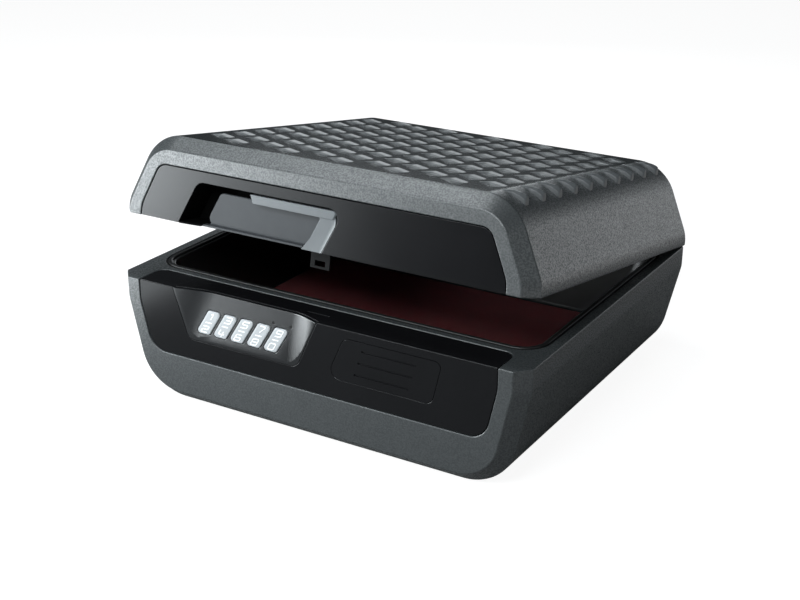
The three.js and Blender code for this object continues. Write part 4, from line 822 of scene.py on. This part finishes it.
def dish_solid(shift, thickness):
    """The dish as a sheet: one grid in front and one behind, closed round the edge."""
    columns, rows = DISH_GRID
    low, high = KEYPAD_FOOT - DISH_MARGIN, LEDGE_TOP + DISH_MARGIN
    rings = []
    for depth in (shift, shift + thickness):
        grid = []
        for j in range(rows + 1):
            z = low + (high - low) * j / rows
            start, end = keypad_left(z) - DISH_MARGIN, keypad_right(z) + DISH_MARGIN
            for i in range(columns + 1):
                x = start + (end - start) * i / columns
                grid.append((x, FRONT + depth + dish_depth(x, z), z))
        rings.append(grid)
    count = len(rings[0])
    wide = columns + 1
    faces = []
    for j in range(rows):
        for i in range(columns):
            a = j * wide + i
            faces.append((a, a + 1, a + wide + 1, a + wide))
            faces.append((count + a, count + a + wide, count + a + wide + 1, count + a + 1))
    edge = list(range(wide)) + [j * wide + columns for j in range(1, rows + 1)]
    edge += [rows * wide + i for i in range(columns - 1, -1, -1)] + [j * wide for j in range(rows - 1, 0, -1)]
    for k, a in enumerate(edge):
        b = edge[(k + 1) % len(edge)]
        faces.append((a, b, count + b, count + a))
    return new_object("dish", rings[0] + rings[1], faces)


# %% Base panel
SLOT_X = 1
SLOT_Y = FRONT + 15.6
SLOT_HALF_LONG = 11
SLOT_HALF_WIDE = 1.7
PANEL_PLAY = 0.35
BEZEL_ROOM = 2.0
panel = join(
    slab_y(grown(base_panel_outline(), -PANEL_PLAY), PANEL_FRONT, PANEL_BACK),
    slab_z(grown(ledge_plan, -PANEL_PLAY), LEDGE_UNDER, LEDGE_TOP),
)
cut(panel, box(-WIDTH, WIDTH, FRONT - 1, 0, LEDGE_TOP, BASE_HEIGHT + 20))
bezel_seat = overlap(
    slab_y(grown(keypad_outline, SEAM), FRONT - 1, FRONT + 20),
    dish_solid(-30, 30 + BEZEL_WALL + BEZEL_ROOM),
)
slot = box(
    SLOT_X - SLOT_HALF_LONG, SLOT_X + SLOT_HALF_LONG,
    SLOT_Y - SLOT_HALF_WIDE, SLOT_Y + SLOT_HALF_WIDE,
    LEDGE_UNDER - 1, BASE_HEIGHT,
)
cut(
    panel,
    bezel_seat,
    slab_y(grown(cover_outline, SEAM), FRONT - 1, PANEL_FRONT + COVER_THICK + SEAM),
    slot,
)
softened(panel, 0.45)
finished(panel, "base_panel", "base", gloss_black, ["front_panel"])

# %% [markdown]
# ## Keypad
#
# The bezel is a dished tray. Its face leans back, the left side falls away in a long slope and the right
# side in a short one, and the three run into each other in soft bends. A height formula gives that surface,
# and the key windows and lamp holes are cut through it.

# %% Keys and bezel
KEY_MIDDLE = -65.8
KEY_PITCH = 17.1
KEY_PLACES = [KEY_MIDDLE + (i - 2) * KEY_PITCH for i in range(5)]
KEY_UP = 18.3
KEY_WIDE = 13.8
KEY_HIGH = 21
KEY_LEAN = 0.55
KEY_CORNER = 2.6
WINDOW_PLAY = 0.4
LAMP_PLACES = ((-35, 32), (-18, 32))
LAMP_HOLE = 1.25


def on_keypad(x, depth, up):
    """From the keypad's own plane, with depth into the face, to the chest."""
    cos, sin = math.cos(KEYPAD_TILT), math.sin(KEYPAD_TILT)
    return Vector((x, FRONT + depth * cos + up * sin, KEYPAD_FOOT - depth * sin + up * cos))


def key_outline(x, shrink):
    left, right = (leaning_edge(x + side * KEY_WIDE / 2, KEY_LEAN, KEY_UP) for side in (-1, 1))
    low, high = KEY_UP - KEY_HIGH / 2, KEY_UP + KEY_HIGH / 2
    return grown(between(left, right, low, high, [(KEY_CORNER,)] * 4), -shrink)


def keypad_loft(stations, centre, steps=8):
    """A body on the keypad plane through outlines at several depths."""
    rings = []
    for shrink, depth in stations:
        rings.append([on_keypad(p.x, depth, p.y) for p in rounded(key_outline(centre, shrink), steps)])
    return loft(rings)


bezel = overlap(dish_solid(0, BEZEL_WALL), slab_y(keypad_outline, PANEL_FRONT, FRONT + 20, steps=12))
window = [(-SEAM - WINDOW_PLAY, -6), (-SEAM - WINDOW_PLAY, 9)]
cut(
    bezel,
    *[keypad_loft(window, x) for x in KEY_PLACES],
    *[bar(on_keypad(x, -5, up), on_keypad(x, 9, up), LAMP_HOLE, 20) for x, up in LAMP_PLACES],
)
softened(bezel, 0.3, segments=2, angle=35)
finished(bezel, "keypad_bezel_skin", "base", bezel_grey, ["keypad_bezel"])

# %% [markdown]
# Each key is a slanted lozenge with a softly crowned cap. The cap is lofted through shrinking outlines,
# which gives the rounded shoulder. Its two figures and the dash between them are raised print. The figures
# are square and open, so each is a few strokes: a stroke is a path with round bends, swept with a flat
# band.

# %% Figure strokes, on a square from 0 to 1
BEND = 0.2
RING = [(0, 0.46), (0, 1, BEND), (1, 1, BEND), (1, 0, BEND), (0, 0, BEND), (0, 0.5)]
DASH = [[(0, 0.5), (1, 0.5)]]
FIGURES = {
    0: [RING],
    1: [[(0.25, 0.78), (0.55, 1, BEND / 2), (0.55, 0)]],
    2: [[(0, 1), (1, 1, BEND), (1, 0.5, BEND), (0, 0.5, BEND), (0, 0, BEND), (1, 0)]],
    3: [[(0, 1), (1, 1, BEND), (1, 0, BEND), (0, 0)], [(0.2, 0.5), (1, 0.5)]],
    4: [[(0.1, 1), (0, 0.32, BEND), (1, 0.32)], [(0.72, 0.75), (0.72, 0)]],
    5: [[(1, 1), (0, 1, BEND), (0, 0.52, BEND), (1, 0.52, BEND), (1, 0, BEND), (0, 0)]],
    6: [[(0.9, 1), (0, 1, BEND), (0, 0, BEND), (1, 0, BEND), (1, 0.52, BEND), (0, 0.52)]],
    7: [[(0, 1), (1, 1, BEND), (0.4, 0)]],
    8: [RING, *DASH],
    9: [[(0.1, 0), (1, 0, BEND), (1, 1, BEND), (0, 1, BEND), (0, 0.48, BEND), (1, 0.48)]],
}
FIGURE_WIDE = 5.7
FIGURE_HIGH = 5.4
FIGURE_SHIFT = 6.0
STROKE_HALF = 0.56
CROWN = -1
PRINT_FOOT = -0.9
PRINT_HIGH = 0.13
PRINT_SLOPE = 0.85
PRINT_SECTION = (
    (-1, PRINT_FOOT),
    (-PRINT_SLOPE, CROWN - PRINT_HIGH),
    (PRINT_SLOPE, CROWN - PRINT_HIGH),
    (1, PRINT_FOOT),
)
CAP_STATIONS = [(0, 2.6), (0, -0.35), (0.12, -0.6), (0.4, -0.82), (0.9, -0.93), (2.2, CROWN)]


# %% Keys
def stroke(path, wide, high, centre, up):
    """A flat raised band along a path, laid on the key's crown and leaning with it."""
    scaled = [(a * wide, b * high, *[r * high for r in rest]) for a, b, *rest in path]
    line = rounded(scaled, 4)
    vertices = []
    for i, point in enumerate(line):
        back = (point - line[i - 1]).normalized() if i else None
        ahead = (line[i + 1] - point).normalized() if i + 1 < len(line) else None
        back = back or ahead
        ahead = ahead or back
        along = (back + ahead).normalized()
        across = Vector((-along.y, along.x)) / max(along.dot(ahead), 0.5)
        end = along * (STROKE_HALF * 0.6) * ((i + 1 == len(line)) - (i == 0))
        for side, depth in PRINT_SECTION:
            spot = point + end + across * side * STROKE_HALF
            rise = spot.y - high / 2 + up - KEY_UP
            vertices.append(on_keypad(centre + spot.x - wide / 2 + KEY_LEAN * rise, depth, KEY_UP + rise))
    faces = [(0, 1, 2, 3), tuple(len(vertices) - k for k in (1, 2, 3, 4))]
    for i in range(len(line) - 1):
        for k in range(4):
            a, b = i * 4 + k, i * 4 + (k + 1) % 4
            faces.append((a, b, b + 4, a + 4))
    return vertices, faces


for i, x in enumerate(KEY_PLACES):
    upper, lower = (2 * i + 1) % 10, (2 * i + 2) % 10
    node = f"key_{upper}_{lower}"
    cap = keypad_loft(CAP_STATIONS, x, steps=7)
    finished(cap, f"key_cap_{upper}_{lower}", node, key_silver, [node], sharp=50)
    vertices, faces = [], []
    prints = [
        (DASH, 1, KEY_UP),
        (FIGURES[upper], FIGURE_HIGH, KEY_UP + FIGURE_SHIFT),
        (FIGURES[lower], FIGURE_HIGH, KEY_UP - FIGURE_SHIFT),
    ]
    for paths, high, up in prints:
        for path in paths:
            more, more_faces = stroke(path, FIGURE_WIDE, high, x, up)
            start = len(vertices)
            vertices += more
            faces += [tuple(start + v for v in face) for face in more_faces]
    figures = new_object("figures", vertices, faces)
    finished(figures, f"key_figures_{upper}_{lower}", node, figure_white)

# %% [markdown]
# ## Battery cover
#
# The cover lies flush in the panel. Only the seam round it and three finger grooves tell it apart, so the
# edge break and the depth of the grooves do all the work.

# %% Battery cover
GROOVE_PITCH = 10.75
GROOVE_HALF_LONG = 25
GROOVE_HALF_WIDE = 0.75
GROOVE_CORNER = 0.5
GROOVE_DEPTH = 1.2
GROOVE_LEAN = 0.337
cover = slab_y(cover_outline, PANEL_FRONT, PANEL_FRONT + COVER_THICK)
cover_mid_z = (COVER_FOOT + COVER_TOP) / 2
cover_mid_x = (cover_left(cover_mid_z) + cover_right(cover_mid_z)) / 2
grooves = []
for k in (-1, 0, 1):
    z = cover_mid_z + k * GROOVE_PITCH
    x = cover_mid_x + GROOVE_LEAN * (z - cover_mid_z)
    left, right = x - GROOVE_HALF_LONG, x + GROOVE_HALF_LONG
    low, high = z - GROOVE_HALF_WIDE, z + GROOVE_HALF_WIDE
    outline = [(a, b, GROOVE_CORNER) for a, b in ((left, low), (right, low), (right, high), (left, high))]
    grooves.append(slab_y(outline, FRONT - 1, PANEL_FRONT + GROOVE_DEPTH))
cut(cover, *grooves)
softened(cover, 0.3, segments=2)
finished(cover, "battery_cover_skin", "battery_cover", gloss_black, ["battery_cover"])

# %% [markdown]
# ## Lid shell
#
# The lid has the same kind of section as the base, turned over. Its top carries rows of raised lozenges,
# which are a form and not a texture. A crest crosses the middle of each. One facet narrows as it falls to
# the left, the other stays wide to the right, and those in the last column stand out over the round
# shoulder as fins. Each is a short loft, and its facets stay flat so that each mirrors one shade. They are
# coloured a lighter grey than the shell's charcoal, as a painted sheen.

# %% Lid shell
LID_PANEL_DROP = 23.8
LID_PANEL_RADIUS = 11.5
FLANGE_LIFT = 1.6
LUG_LONG = 13


def lid_panel_outline(inset=0, start=0):
    return panel_outline(LID, LID_PANEL_DROP, LID_PANEL_RADIUS, inset, start)


lid_skin = cut(
    outer_body(LID),
    hollow(LID, -1),
    slab_y(grown(lid_panel_outline(), SEAM), FRONT - 1, PANEL_BACK + SEAM),
    slab_y(lid_panel_outline(PANEL_SEAT, -1), FRONT - 1, FRONT + FRONT_WALL + 1),
)
lug_outline = [
    (HINGE_Y - LUG_RADIUS, LID_HINGE_Z - LUG_RADIUS, LUG_RADIUS * 0.95, 10),
    (HINGE_Y + LUG_RADIUS, LID_HINGE_Z - LUG_RADIUS, LUG_RADIUS * 0.95, 10),
    (HINGE_Y + LUG_RADIUS, FLANGE_LIFT - SEAM),
    (HINGE_Y - LUG_RADIUS, FLANGE_LIFT - SEAM),
]


def slab_x(corners, start, end):
    return loft([[(x, p.x, p.y) for p in rounded(corners)] for x in (start, end)])


for x in HINGE_PLACES:
    left, right = x - POCKET_HALF + SEAM, x + POCKET_HALF - SEAM
    join(lid_skin, slab_x(lug_outline, left, left + LUG_LONG), slab_x(lug_outline, right - LUG_LONG, right))
    pin_start, pin_end = (left - 1, HINGE_Y, LID_HINGE_Z), (right + 1, HINGE_Y, LID_HINGE_Z)
    cut(lid_skin, bar(pin_start, pin_end, PIN_RADIUS + SEAM))
softened(lid_skin, 1.0)
finished(lid_skin, "lid_moulding", "lid", lid_charcoal, ["lid_shell"])

# %% Raised lozenges
COLUMN_PITCH = 25.7
ROW_PITCH = 29.6
FIRST_ROW = 33
BACK_MARGIN = 12.5
COLUMNS = range(-5, 7)
FIN_COLUMN = 6
LOZENGE_HALF = 11.5
LOZENGE_HIGH = 1.8
LOZENGE = [
    (-LOZENGE_HALF, 1.1, 0.9, -1.5, -0.1, 0.02),
    (0, 4.3, 3.9, -1.5, -0.1, LOZENGE_HIGH),
    (LOZENGE_HALF - 1.2, 4.0, 3.6, -1.5, -0.1, 0.3),
    (LOZENGE_HALF, 2.8, 2.4, -1.5, -0.1, 0.1),
]
FIN = [
    (-LOZENGE_HALF, 1.1, 0.9, -2.2, -0.4, -0.1),
    (0, 3.85, 1.3, -5, -0.2, 1.1),
    (6, 3.85, 1.2, -7.5, -1.6, 0.4),
    (10.3, 3.3, 1.0, -9.6, -4.2, -0.9),
    (LOZENGE_HALF, 2.75, 0.9, -10.5, -5.6, -2.0),
]


def ridge_body(stations):
    """A closed body along x. A station is x, the half widths of foot and crest, and the heights of root,
    foot and crest."""
    rings = []
    for x, foot, crest, root, low, high in stations:
        rings.append([(x, -foot, root), (x, foot, root), (x, foot, low), (x, crest, high), (x, -crest, high),
                      (x, -foot, low)])
    return loft(rings)


relief_vertices, relief_faces = [], []
for column in COLUMNS:
    x = column * COLUMN_PITCH
    y = FIRST_ROW + (0 if column % 2 == 0 else ROW_PITCH / 2)
    one = ridge_body(FIN if column == FIN_COLUMN else LOZENGE)
    softened(one, 0.3, segments=2, angle=8)
    while y < DEPTH - BACK_MARGIN:
        start = len(relief_vertices)
        relief_vertices += [(v.co.x + x, v.co.y + FRONT + y, v.co.z + LID_HEIGHT) for v in one.data.vertices]
        relief_faces += [tuple(start + v for v in face.vertices) for face in one.data.polygons]
        y += ROW_PITCH
    bpy.data.objects.remove(one)
relief = new_object("relief", relief_vertices, relief_faces)
# The relief is coloured lighter than the shell as painted sheen on its facets.
finished(relief, "lid_relief", "lid", lozenge_painted_sheen, sharp=6)

# %% [markdown]
# ## Lid panel and grip recess
#
# A second black sheet fills the lid's front frame. A recess at its left holds a grip plate for the fingers,
# and an angled silver trim frames the plate at the top and the right. The rest of the sheet is bare.

# %% Outlines of the recess
PULL_HEIGHT = 37
DEEP_RIGHT = -14
DEEP_BACK = FRONT + 28
PLATE_FRONT = FRONT + 9
PLATE_BACK = PLATE_FRONT + 3
SHELF_BACK = PLATE_BACK + SEAM
CUP_WALL = 2
SHELF_WALL = 1.5
pull_left = leaning_edge(-132.2, 0.498, 0)
pull_right = leaning_edge(10.6, 0.478, 0)


def pull_outline(foot=-20):
    return between(pull_left, pull_right, foot, PULL_HEIGHT, ((), (), (8.5, 12), (10, 12)))


def deep_outline(foot=-20):
    deep_right = leaning_edge(DEEP_RIGHT, 0, 0)
    return between(pull_left, deep_right, foot, PULL_HEIGHT, ((), (), (8.5,), (10, 12)))


def cup_bodies(play):
    """The outer form of the recess cup, its shelf and its deep part, grown all round by a play."""
    start = PANEL_BACK + SEAM - play
    shelf = slab_y(grown(pull_outline(), CUP_WALL + play), start, SHELF_BACK + SHELF_WALL + play)
    deep = slab_y(grown(deep_outline(), CUP_WALL + play), start, DEEP_BACK + CUP_WALL + play)
    return shelf, deep


# %% Lid panel
lid_sheet = cut(
    slab_y(grown(lid_panel_outline(), -PANEL_PLAY), PANEL_FRONT, PANEL_BACK),
    slab_y(pull_outline(), FRONT - 1, PANEL_BACK + 1),
)
softened(lid_sheet, 0.4, segments=2)
finished(lid_sheet, "lid_panel_skin", "lid", gloss_black, ["lid_panel"])

# %% Recess cup, with two posts for the plate and a thin floor left of it
POST_RADIUS = 4
POST_SHARES = (0.22, 0.72)
CUP_FLOOR_THICK = 1.6
cup = join(*cup_bodies(0))
cut(
    cup,
    box(-WIDTH, WIDTH, FRONT - 1, BACK, -40, 0),
    slab_y(pull_outline(-40), FRONT - 1, SHELF_BACK),
    slab_y(deep_outline(-40), FRONT - 1, DEEP_BACK),
)
for share in POST_SHARES:
    x = pull_left(PULL_HEIGHT / 2) + share * (pull_right(0) - pull_left(0))
    join(cup, bar((x, SHELF_BACK, PULL_HEIGHT / 2), (x, DEEP_BACK + 1, PULL_HEIGHT / 2), POST_RADIUS))


def left_prism(plan, low, high):
    """A body whose plan is given from the left edge of the recess and leans with it."""
    rings = []
    for z in (low, high):
        rings.append([(pull_left(z) + x, y, z) for x, y in plan])
    return loft(rings)


floor_plan = [
    (0.4, FRONT + 0.8),
    (20.4, FRONT + 4.2),
    (20.4, DEEP_BACK + 1),
    (-1, DEEP_BACK + 1),
    (-1, PANEL_BACK + SEAM),
    (0.4, PANEL_BACK + SEAM),
]
join(cup, left_prism(floor_plan, 0, CUP_FLOOR_THICK))
softened(cup, 0.4, segments=2)
# The cup gets the near-black, dull finish: painted shade in the recess.
finished(cup, "pull_cup_skin", "lid", recess_black_painted_shade, ["pull_cup"])

# %% Grip plate
TRIM_LEG = 16.6
PLATE_LOW = 2
PLATE_HIGH = PULL_HEIGHT - 7
PLATE_START = 21
PLATE_CORNER = 6
plate = slab_y([
    (pull_left(PLATE_LOW) + PLATE_START, PLATE_LOW, PLATE_CORNER),
    (pull_right(PLATE_LOW) - TRIM_LEG, PLATE_LOW, PLATE_CORNER),
    (pull_right(PLATE_HIGH) - 2, PLATE_HIGH, PLATE_CORNER),
    (pull_left(PLATE_HIGH) + PLATE_START, PLATE_HIGH, PLATE_CORNER),
], PLATE_FRONT, PLATE_BACK)
softened(plate, 0.8, segments=4)

# %% Lip under the plate
LIP_FRONT = FRONT + 5.5
LIP_LOW = 0.4
LIP_HIGH = 2.3
LIP_RIGHT = -11
lip = slab_x([
    (LIP_FRONT, LIP_LOW, 0.3, 3),
    (PLATE_BACK, LIP_LOW),
    (PLATE_BACK, 6),
    (PLATE_FRONT + 0.1, 6),
    (PLATE_FRONT - 0.1, 2.5, 2.6, 8),
    (LIP_FRONT, LIP_HIGH, 0.9, 5),
], pull_left(LIP_HIGH) + PLATE_START, LIP_RIGHT)
under_corner = pull_left(0) + 20
cut(lip, box(under_corner, under_corner + 7.5, FRONT + 4, FRONT + 13, 1.9, 8))
join(plate, lip)
finished(plate, "pull_plate_skin", "lid", plate_grey, ["pull_plate"])

# %% Trim, a proud strip along the top and a leg that lies a little deeper
TRIM_HIGH = PULL_HEIGHT - 1.6
TRIM_STRIP = 7
TRIM_STEP = 0.8
TRIM_LONG = 88
TRIM_SLANT = 3.15


def trim_right(z):
    return pull_right(z) - 0.4


trim_left = trim_right(TRIM_HIGH) - TRIM_LONG
strip_low = TRIM_HIGH - TRIM_STRIP
trim_outline = [
    (trim_right(SEAM), SEAM),
    (trim_right(TRIM_HIGH), TRIM_HIGH, 9.5, 14),
    (trim_left, TRIM_HIGH),
    (trim_left + TRIM_SLANT, strip_low),
    (trim_right(strip_low) - TRIM_LEG, strip_low, 1.5),
    (trim_right(SEAM + 10) - TRIM_LEG, SEAM + 10, 8),
    (trim_right(SEAM) - TRIM_LEG - 3, SEAM),
]
trim = slab_y(trim_outline, PANEL_FRONT + TRIM_STEP, PANEL_FRONT + 6)

# %% Right edge of the trim, which rises to the panel
edge_rings = []
for z in (SEAM, TRIM_HIGH):
    x = trim_right(z)
    edge_rings.append([(x - 3.4, PANEL_FRONT + TRIM_STEP, z), (x + 1, PANEL_FRONT + 0.05, z),
                       (x + 1, PANEL_FRONT + 3, z), (x - 3.4, PANEL_FRONT + 3, z)])
edge = overlap(loft(edge_rings), slab_y(trim_outline, PANEL_FRONT, PANEL_FRONT + 4))

# %% Strip of the trim, whose right end slopes down
strip_rings = []
for y, out in ((PANEL_FRONT, 0), (PANEL_FRONT + 1.0, 1.2), (PANEL_FRONT + 3, 1.2)):
    strip_rings.append(ring_y([
        (trim_right(strip_low) - 5.2 + out, strip_low, 0.6, 4),
        (trim_right(TRIM_HIGH) - 5.4 + out, TRIM_HIGH, 7, 10),
        (trim_left, TRIM_HIGH),
        (trim_left + TRIM_SLANT, strip_low),
    ], y))
join(trim, edge, loft(strip_rings))
softened(trim, 0.3)
finished(trim, "pull_trim_skin", "lid", trim_grey, ["pull_trim"])

# %% [markdown]
# ## Inside the lid
#
# The lid's liner mirrors the tub: a flange all round, a groove for the gasket and a shallow hollow. It is
# seen from below and when the lid stands wide open.

# %% Lid liner
LID_TUB = 46
FLANGE_TOP = FLANGE_LIFT + 2.4


def flange_plan():
    side = HALF - WALL - SEAM
    front = FRONT + FRONT_WALL + SEAM
    straight = FRONT + CHAMFER_DEPTH + WALL / 2
    corner_reach = WALL * math.hypot(CHAMFER_SIDE, CHAMFER_DEPTH) / CHAMFER_DEPTH
    narrow = side - CHAMFER_SIDE * (1 - FRONT_WALL / CHAMFER_DEPTH) - corner_reach + WALL
    back = BACK - WALL - SEAM
    return mirrored([(narrow, front), (side, straight), (side, back)])


blade_hole = box(SLOT_X - 9.3, SLOT_X + 9.3, SLOT_Y - 1.8, SLOT_Y + 1.1, 0, 5)
lid_tub = join(
    slab_z(flange_plan(), FLANGE_LIFT, FLANGE_TOP),
    loft([tub_ring(TUB_INSET - 2, FLANGE_LIFT), tub_ring(TUB_INSET + TUB_DRAW_IN - 2, LID_TUB + 2)]),
)
cut(
    lid_tub,
    loft([tub_ring(TUB_INSET, FLANGE_LIFT - 1), tub_ring(TUB_INSET + TUB_DRAW_IN, LID_TUB)]),
    cut(slab_z(rim_plan(0.7), FLANGE_LIFT - 1, 2.5), slab_z(rim_plan(6.8), FLANGE_LIFT - 2, 4)),
    *cup_bodies(SEAM),
    blade_hole,
)
softened(lid_tub, 0.6, segments=2)
finished(lid_tub, "lid_liner_skin", "lid", liner_black, ["lid_liner"])

# %% Gasket
gasket_path = rounded([(1, 2.2, 0.5, 2), (1, 0.2, 0.9, 4), (6.5, 0.2, 0.9, 4), (6.5, 2.2, 0.5, 2)])
gasket = loft([ring_z(rim_plan(p.x), p.y) for p in gasket_path], closed_end=True)
finished(gasket, "gasket_skin", "lid", rubber_black, ["lid_gasket"])

# %% [markdown]
# ## Carried-over nodes
#
# The hidden pieces and the small hardware have their right shape in the CAD, so they only get their
# finishes.

# %% Finishes for the CAD nodes
carried = {
    "insulation": fill_stone,
    "board_screw": steel,
    "strike": blackened_steel,
    "hinge_pin": steel,
    "battery_contact": steel,
    "lock_bolt": steel,
    "circuit_board": board_green,
    "led": lens_dark,
    "cell": cell_wrap,
    "lock_coil": coil_tape,
    "battery_tray": liner_black,
    "lock_case": liner_black,
    "keypad_mat": rubber_black,
    "lead": rubber_black,
}
dressed = 0
for name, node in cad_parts.items():
    for key, finish in carried.items():
        if key in name:
            node.data.materials.clear()
            node.data.materials.append(finish)
            dressed += 1
            break
print("CAD nodes dressed:", dressed)

# %% [markdown]
# ## Light and floor
#
# The chest is lit as in a studio. A bright panel with two dimmer wings stands low at the left front and
# draws the highlight on the left of every frame. Three squares fill the front from above, two long ones
# hang over the lid, two at the right give the sheen on the side, and a low one behind picks out the
# lozenges. Three cards on the floor shine up into the black panels, as sheets of paper would. A lamp has a
# brightness and a size, and its power follows from them.


# %% Lamps
def lamp(name, place, aim, width, height, brightness):
    data = bpy.data.lights.new(name, "AREA")
    data.shape = "RECTANGLE"
    data.size = width
    data.size_y = height
    data.energy = brightness * math.pi * width * height
    data.color = (0.91, 0.97, 1.0)
    obj = added(name, data)
    obj.location = place
    obj.rotation_euler = (Vector(aim) - Vector(place)).to_track_quat("-Z", "Y").to_euler()
    print(name, round(data.energy, 1), "W")
    return obj


LOOK_AT = Vector((-0.03, -0.15, 0.2))
KEY_LIGHT_UP = 0.28


def around(azimuth, elevation, distance):
    """A place around the chest's front edge; the azimuth is counted from the front, to the right."""
    turn, rise = math.radians(azimuth), math.radians(elevation)
    flat = distance * math.cos(rise)
    return LOOK_AT + Vector((flat * math.sin(turn), -flat * math.cos(turn), distance * math.sin(rise)))


key_lights = (
    ("key_left_wing", -72, 0.27, 5.6),
    ("key_left", -54, 0.55, 16.0),
    ("key_right_wing", -36, 0.27, 3.6),
)
for name, azimuth, width, brightness in key_lights:
    place = around(azimuth, 4, 1.3)
    place.z = KEY_LIGHT_UP
    lamp(name, place, (LOOK_AT.x, LOOK_AT.y, KEY_LIGHT_UP), width, 0.5, brightness)
high_lights = (("high_left", -55, 1.0), ("high_front", -20, 10.0), ("high_right", 15, 15.0))
for name, azimuth, brightness in high_lights:
    lamp(name, around(azimuth, 38, 1.3), LOOK_AT, 0.45, 0.45, brightness)
lamp("top_left", (-0.75, -0.05, 1.5), (-0.3, -0.05, 0.15), 0.3, 0.8, 3.5)
lamp("top", (-0.45, -0.05, 1.5), (-0.18, -0.05, 0.15), 0.3, 0.8, 7.6)
lamp("right_back", (0.64, 1.13, 0.2), (0.05, 0, 0.2), 0.9, 0.36, 0.9)
lamp("back_low", around(-156, 11, 1.5), LOOK_AT, 0.7, 0.22, 3.4)
lamp("right_fill", (1.11, -0.35, 0.68), (0.15, -0.13, 0.2), 0.4, 0.4, 1.3)
cards = (
    ("card_left", -0.75, -0.42, 11.0),
    ("card_near", -0.46, -0.40, 4.2),
    ("card_back", -0.62, -0.12, 5.0),
)
for name, x, y, brightness in cards:
    card = lamp(name, (x, y, 0.003), (x, y, 1), 0.3, 0.4, brightness)
    card.visible_camera = False

# %% World
world = bpy.data.worlds.new("studio")
bpy.context.scene.world = world
world.use_nodes = True
background = world.node_tree.nodes["Background"]
background.inputs["Color"].default_value = (0.85, 0.92, 1.0, 1)
background.inputs["Strength"].default_value = 0.045

# %% [markdown]
# The floor is pale paper. It looks white to the camera, and to mirrors it looks white only away from the
# chest and at its right: close by, a mirror sees the paper and the chest's own shadow on it. The mask is
# the distance from the footprint, worked out from the floor's own coordinates.

# %% Floor
MIRROR_START = 0.25
MIRROR_RUN = 0.35
floor_finish = Finish("studio_floor")
paper = floor_finish.noise(4, detail=2)
add_node = floor_finish.node
floor_x, floor_y = add_node("ShaderNodeSeparateXYZ", {"Vector": floor_finish.place()}, output=("X", "Y"))
across = (floor_x.absolute() - HALF * MM).clamped()
along = (floor_y.absolute() - BACK * MM).clamped()
away = (across * across + along * along).root()
far = ((away - MIRROR_START) / MIRROR_RUN).clamped() * floor_x.clamped()
lit_paper = add_node("ShaderNodeBsdfDiffuse", {
    "Color": floor_finish.colour_mix(paper, (0.25, 0.25, 0.25), (0.27, 0.27, 0.27)),
})
glow = add_node("ShaderNodeEmission", {"Strength": 0.92})
rays = ("Is Camera Ray", "Is Glossy Ray", "Is Transmission Ray")
seen, in_mirror, through = add_node("ShaderNodeLightPath", output=rays)
white = add_node("ShaderNodeAddShader", {0: lit_paper, 1: glow})
shown = seen + in_mirror * far + through
floor_shader = add_node("ShaderNodeMixShader", {0: shown, 1: lit_paper, 2: white})
add_node("ShaderNodeOutputMaterial", {"Surface": floor_shader})
FLOOR_HALF = 30000
FLOOR_TOP = -2
floor = box(-FLOOR_HALF, FLOOR_HALF, -FLOOR_HALF, FLOOR_HALF, FLOOR_TOP - 20, FLOOR_TOP)
for vertex in floor.data.vertices:
    vertex.co = vertex.co * MM
floor.name = "studio_floor"
floor.data.materials.append(floor_finish.material)
print("floor", 2 * FLOOR_HALF * MM, "m wide")

# %% Colour settings
scene = bpy.context.scene
scene.view_settings.view_transform = "Standard"
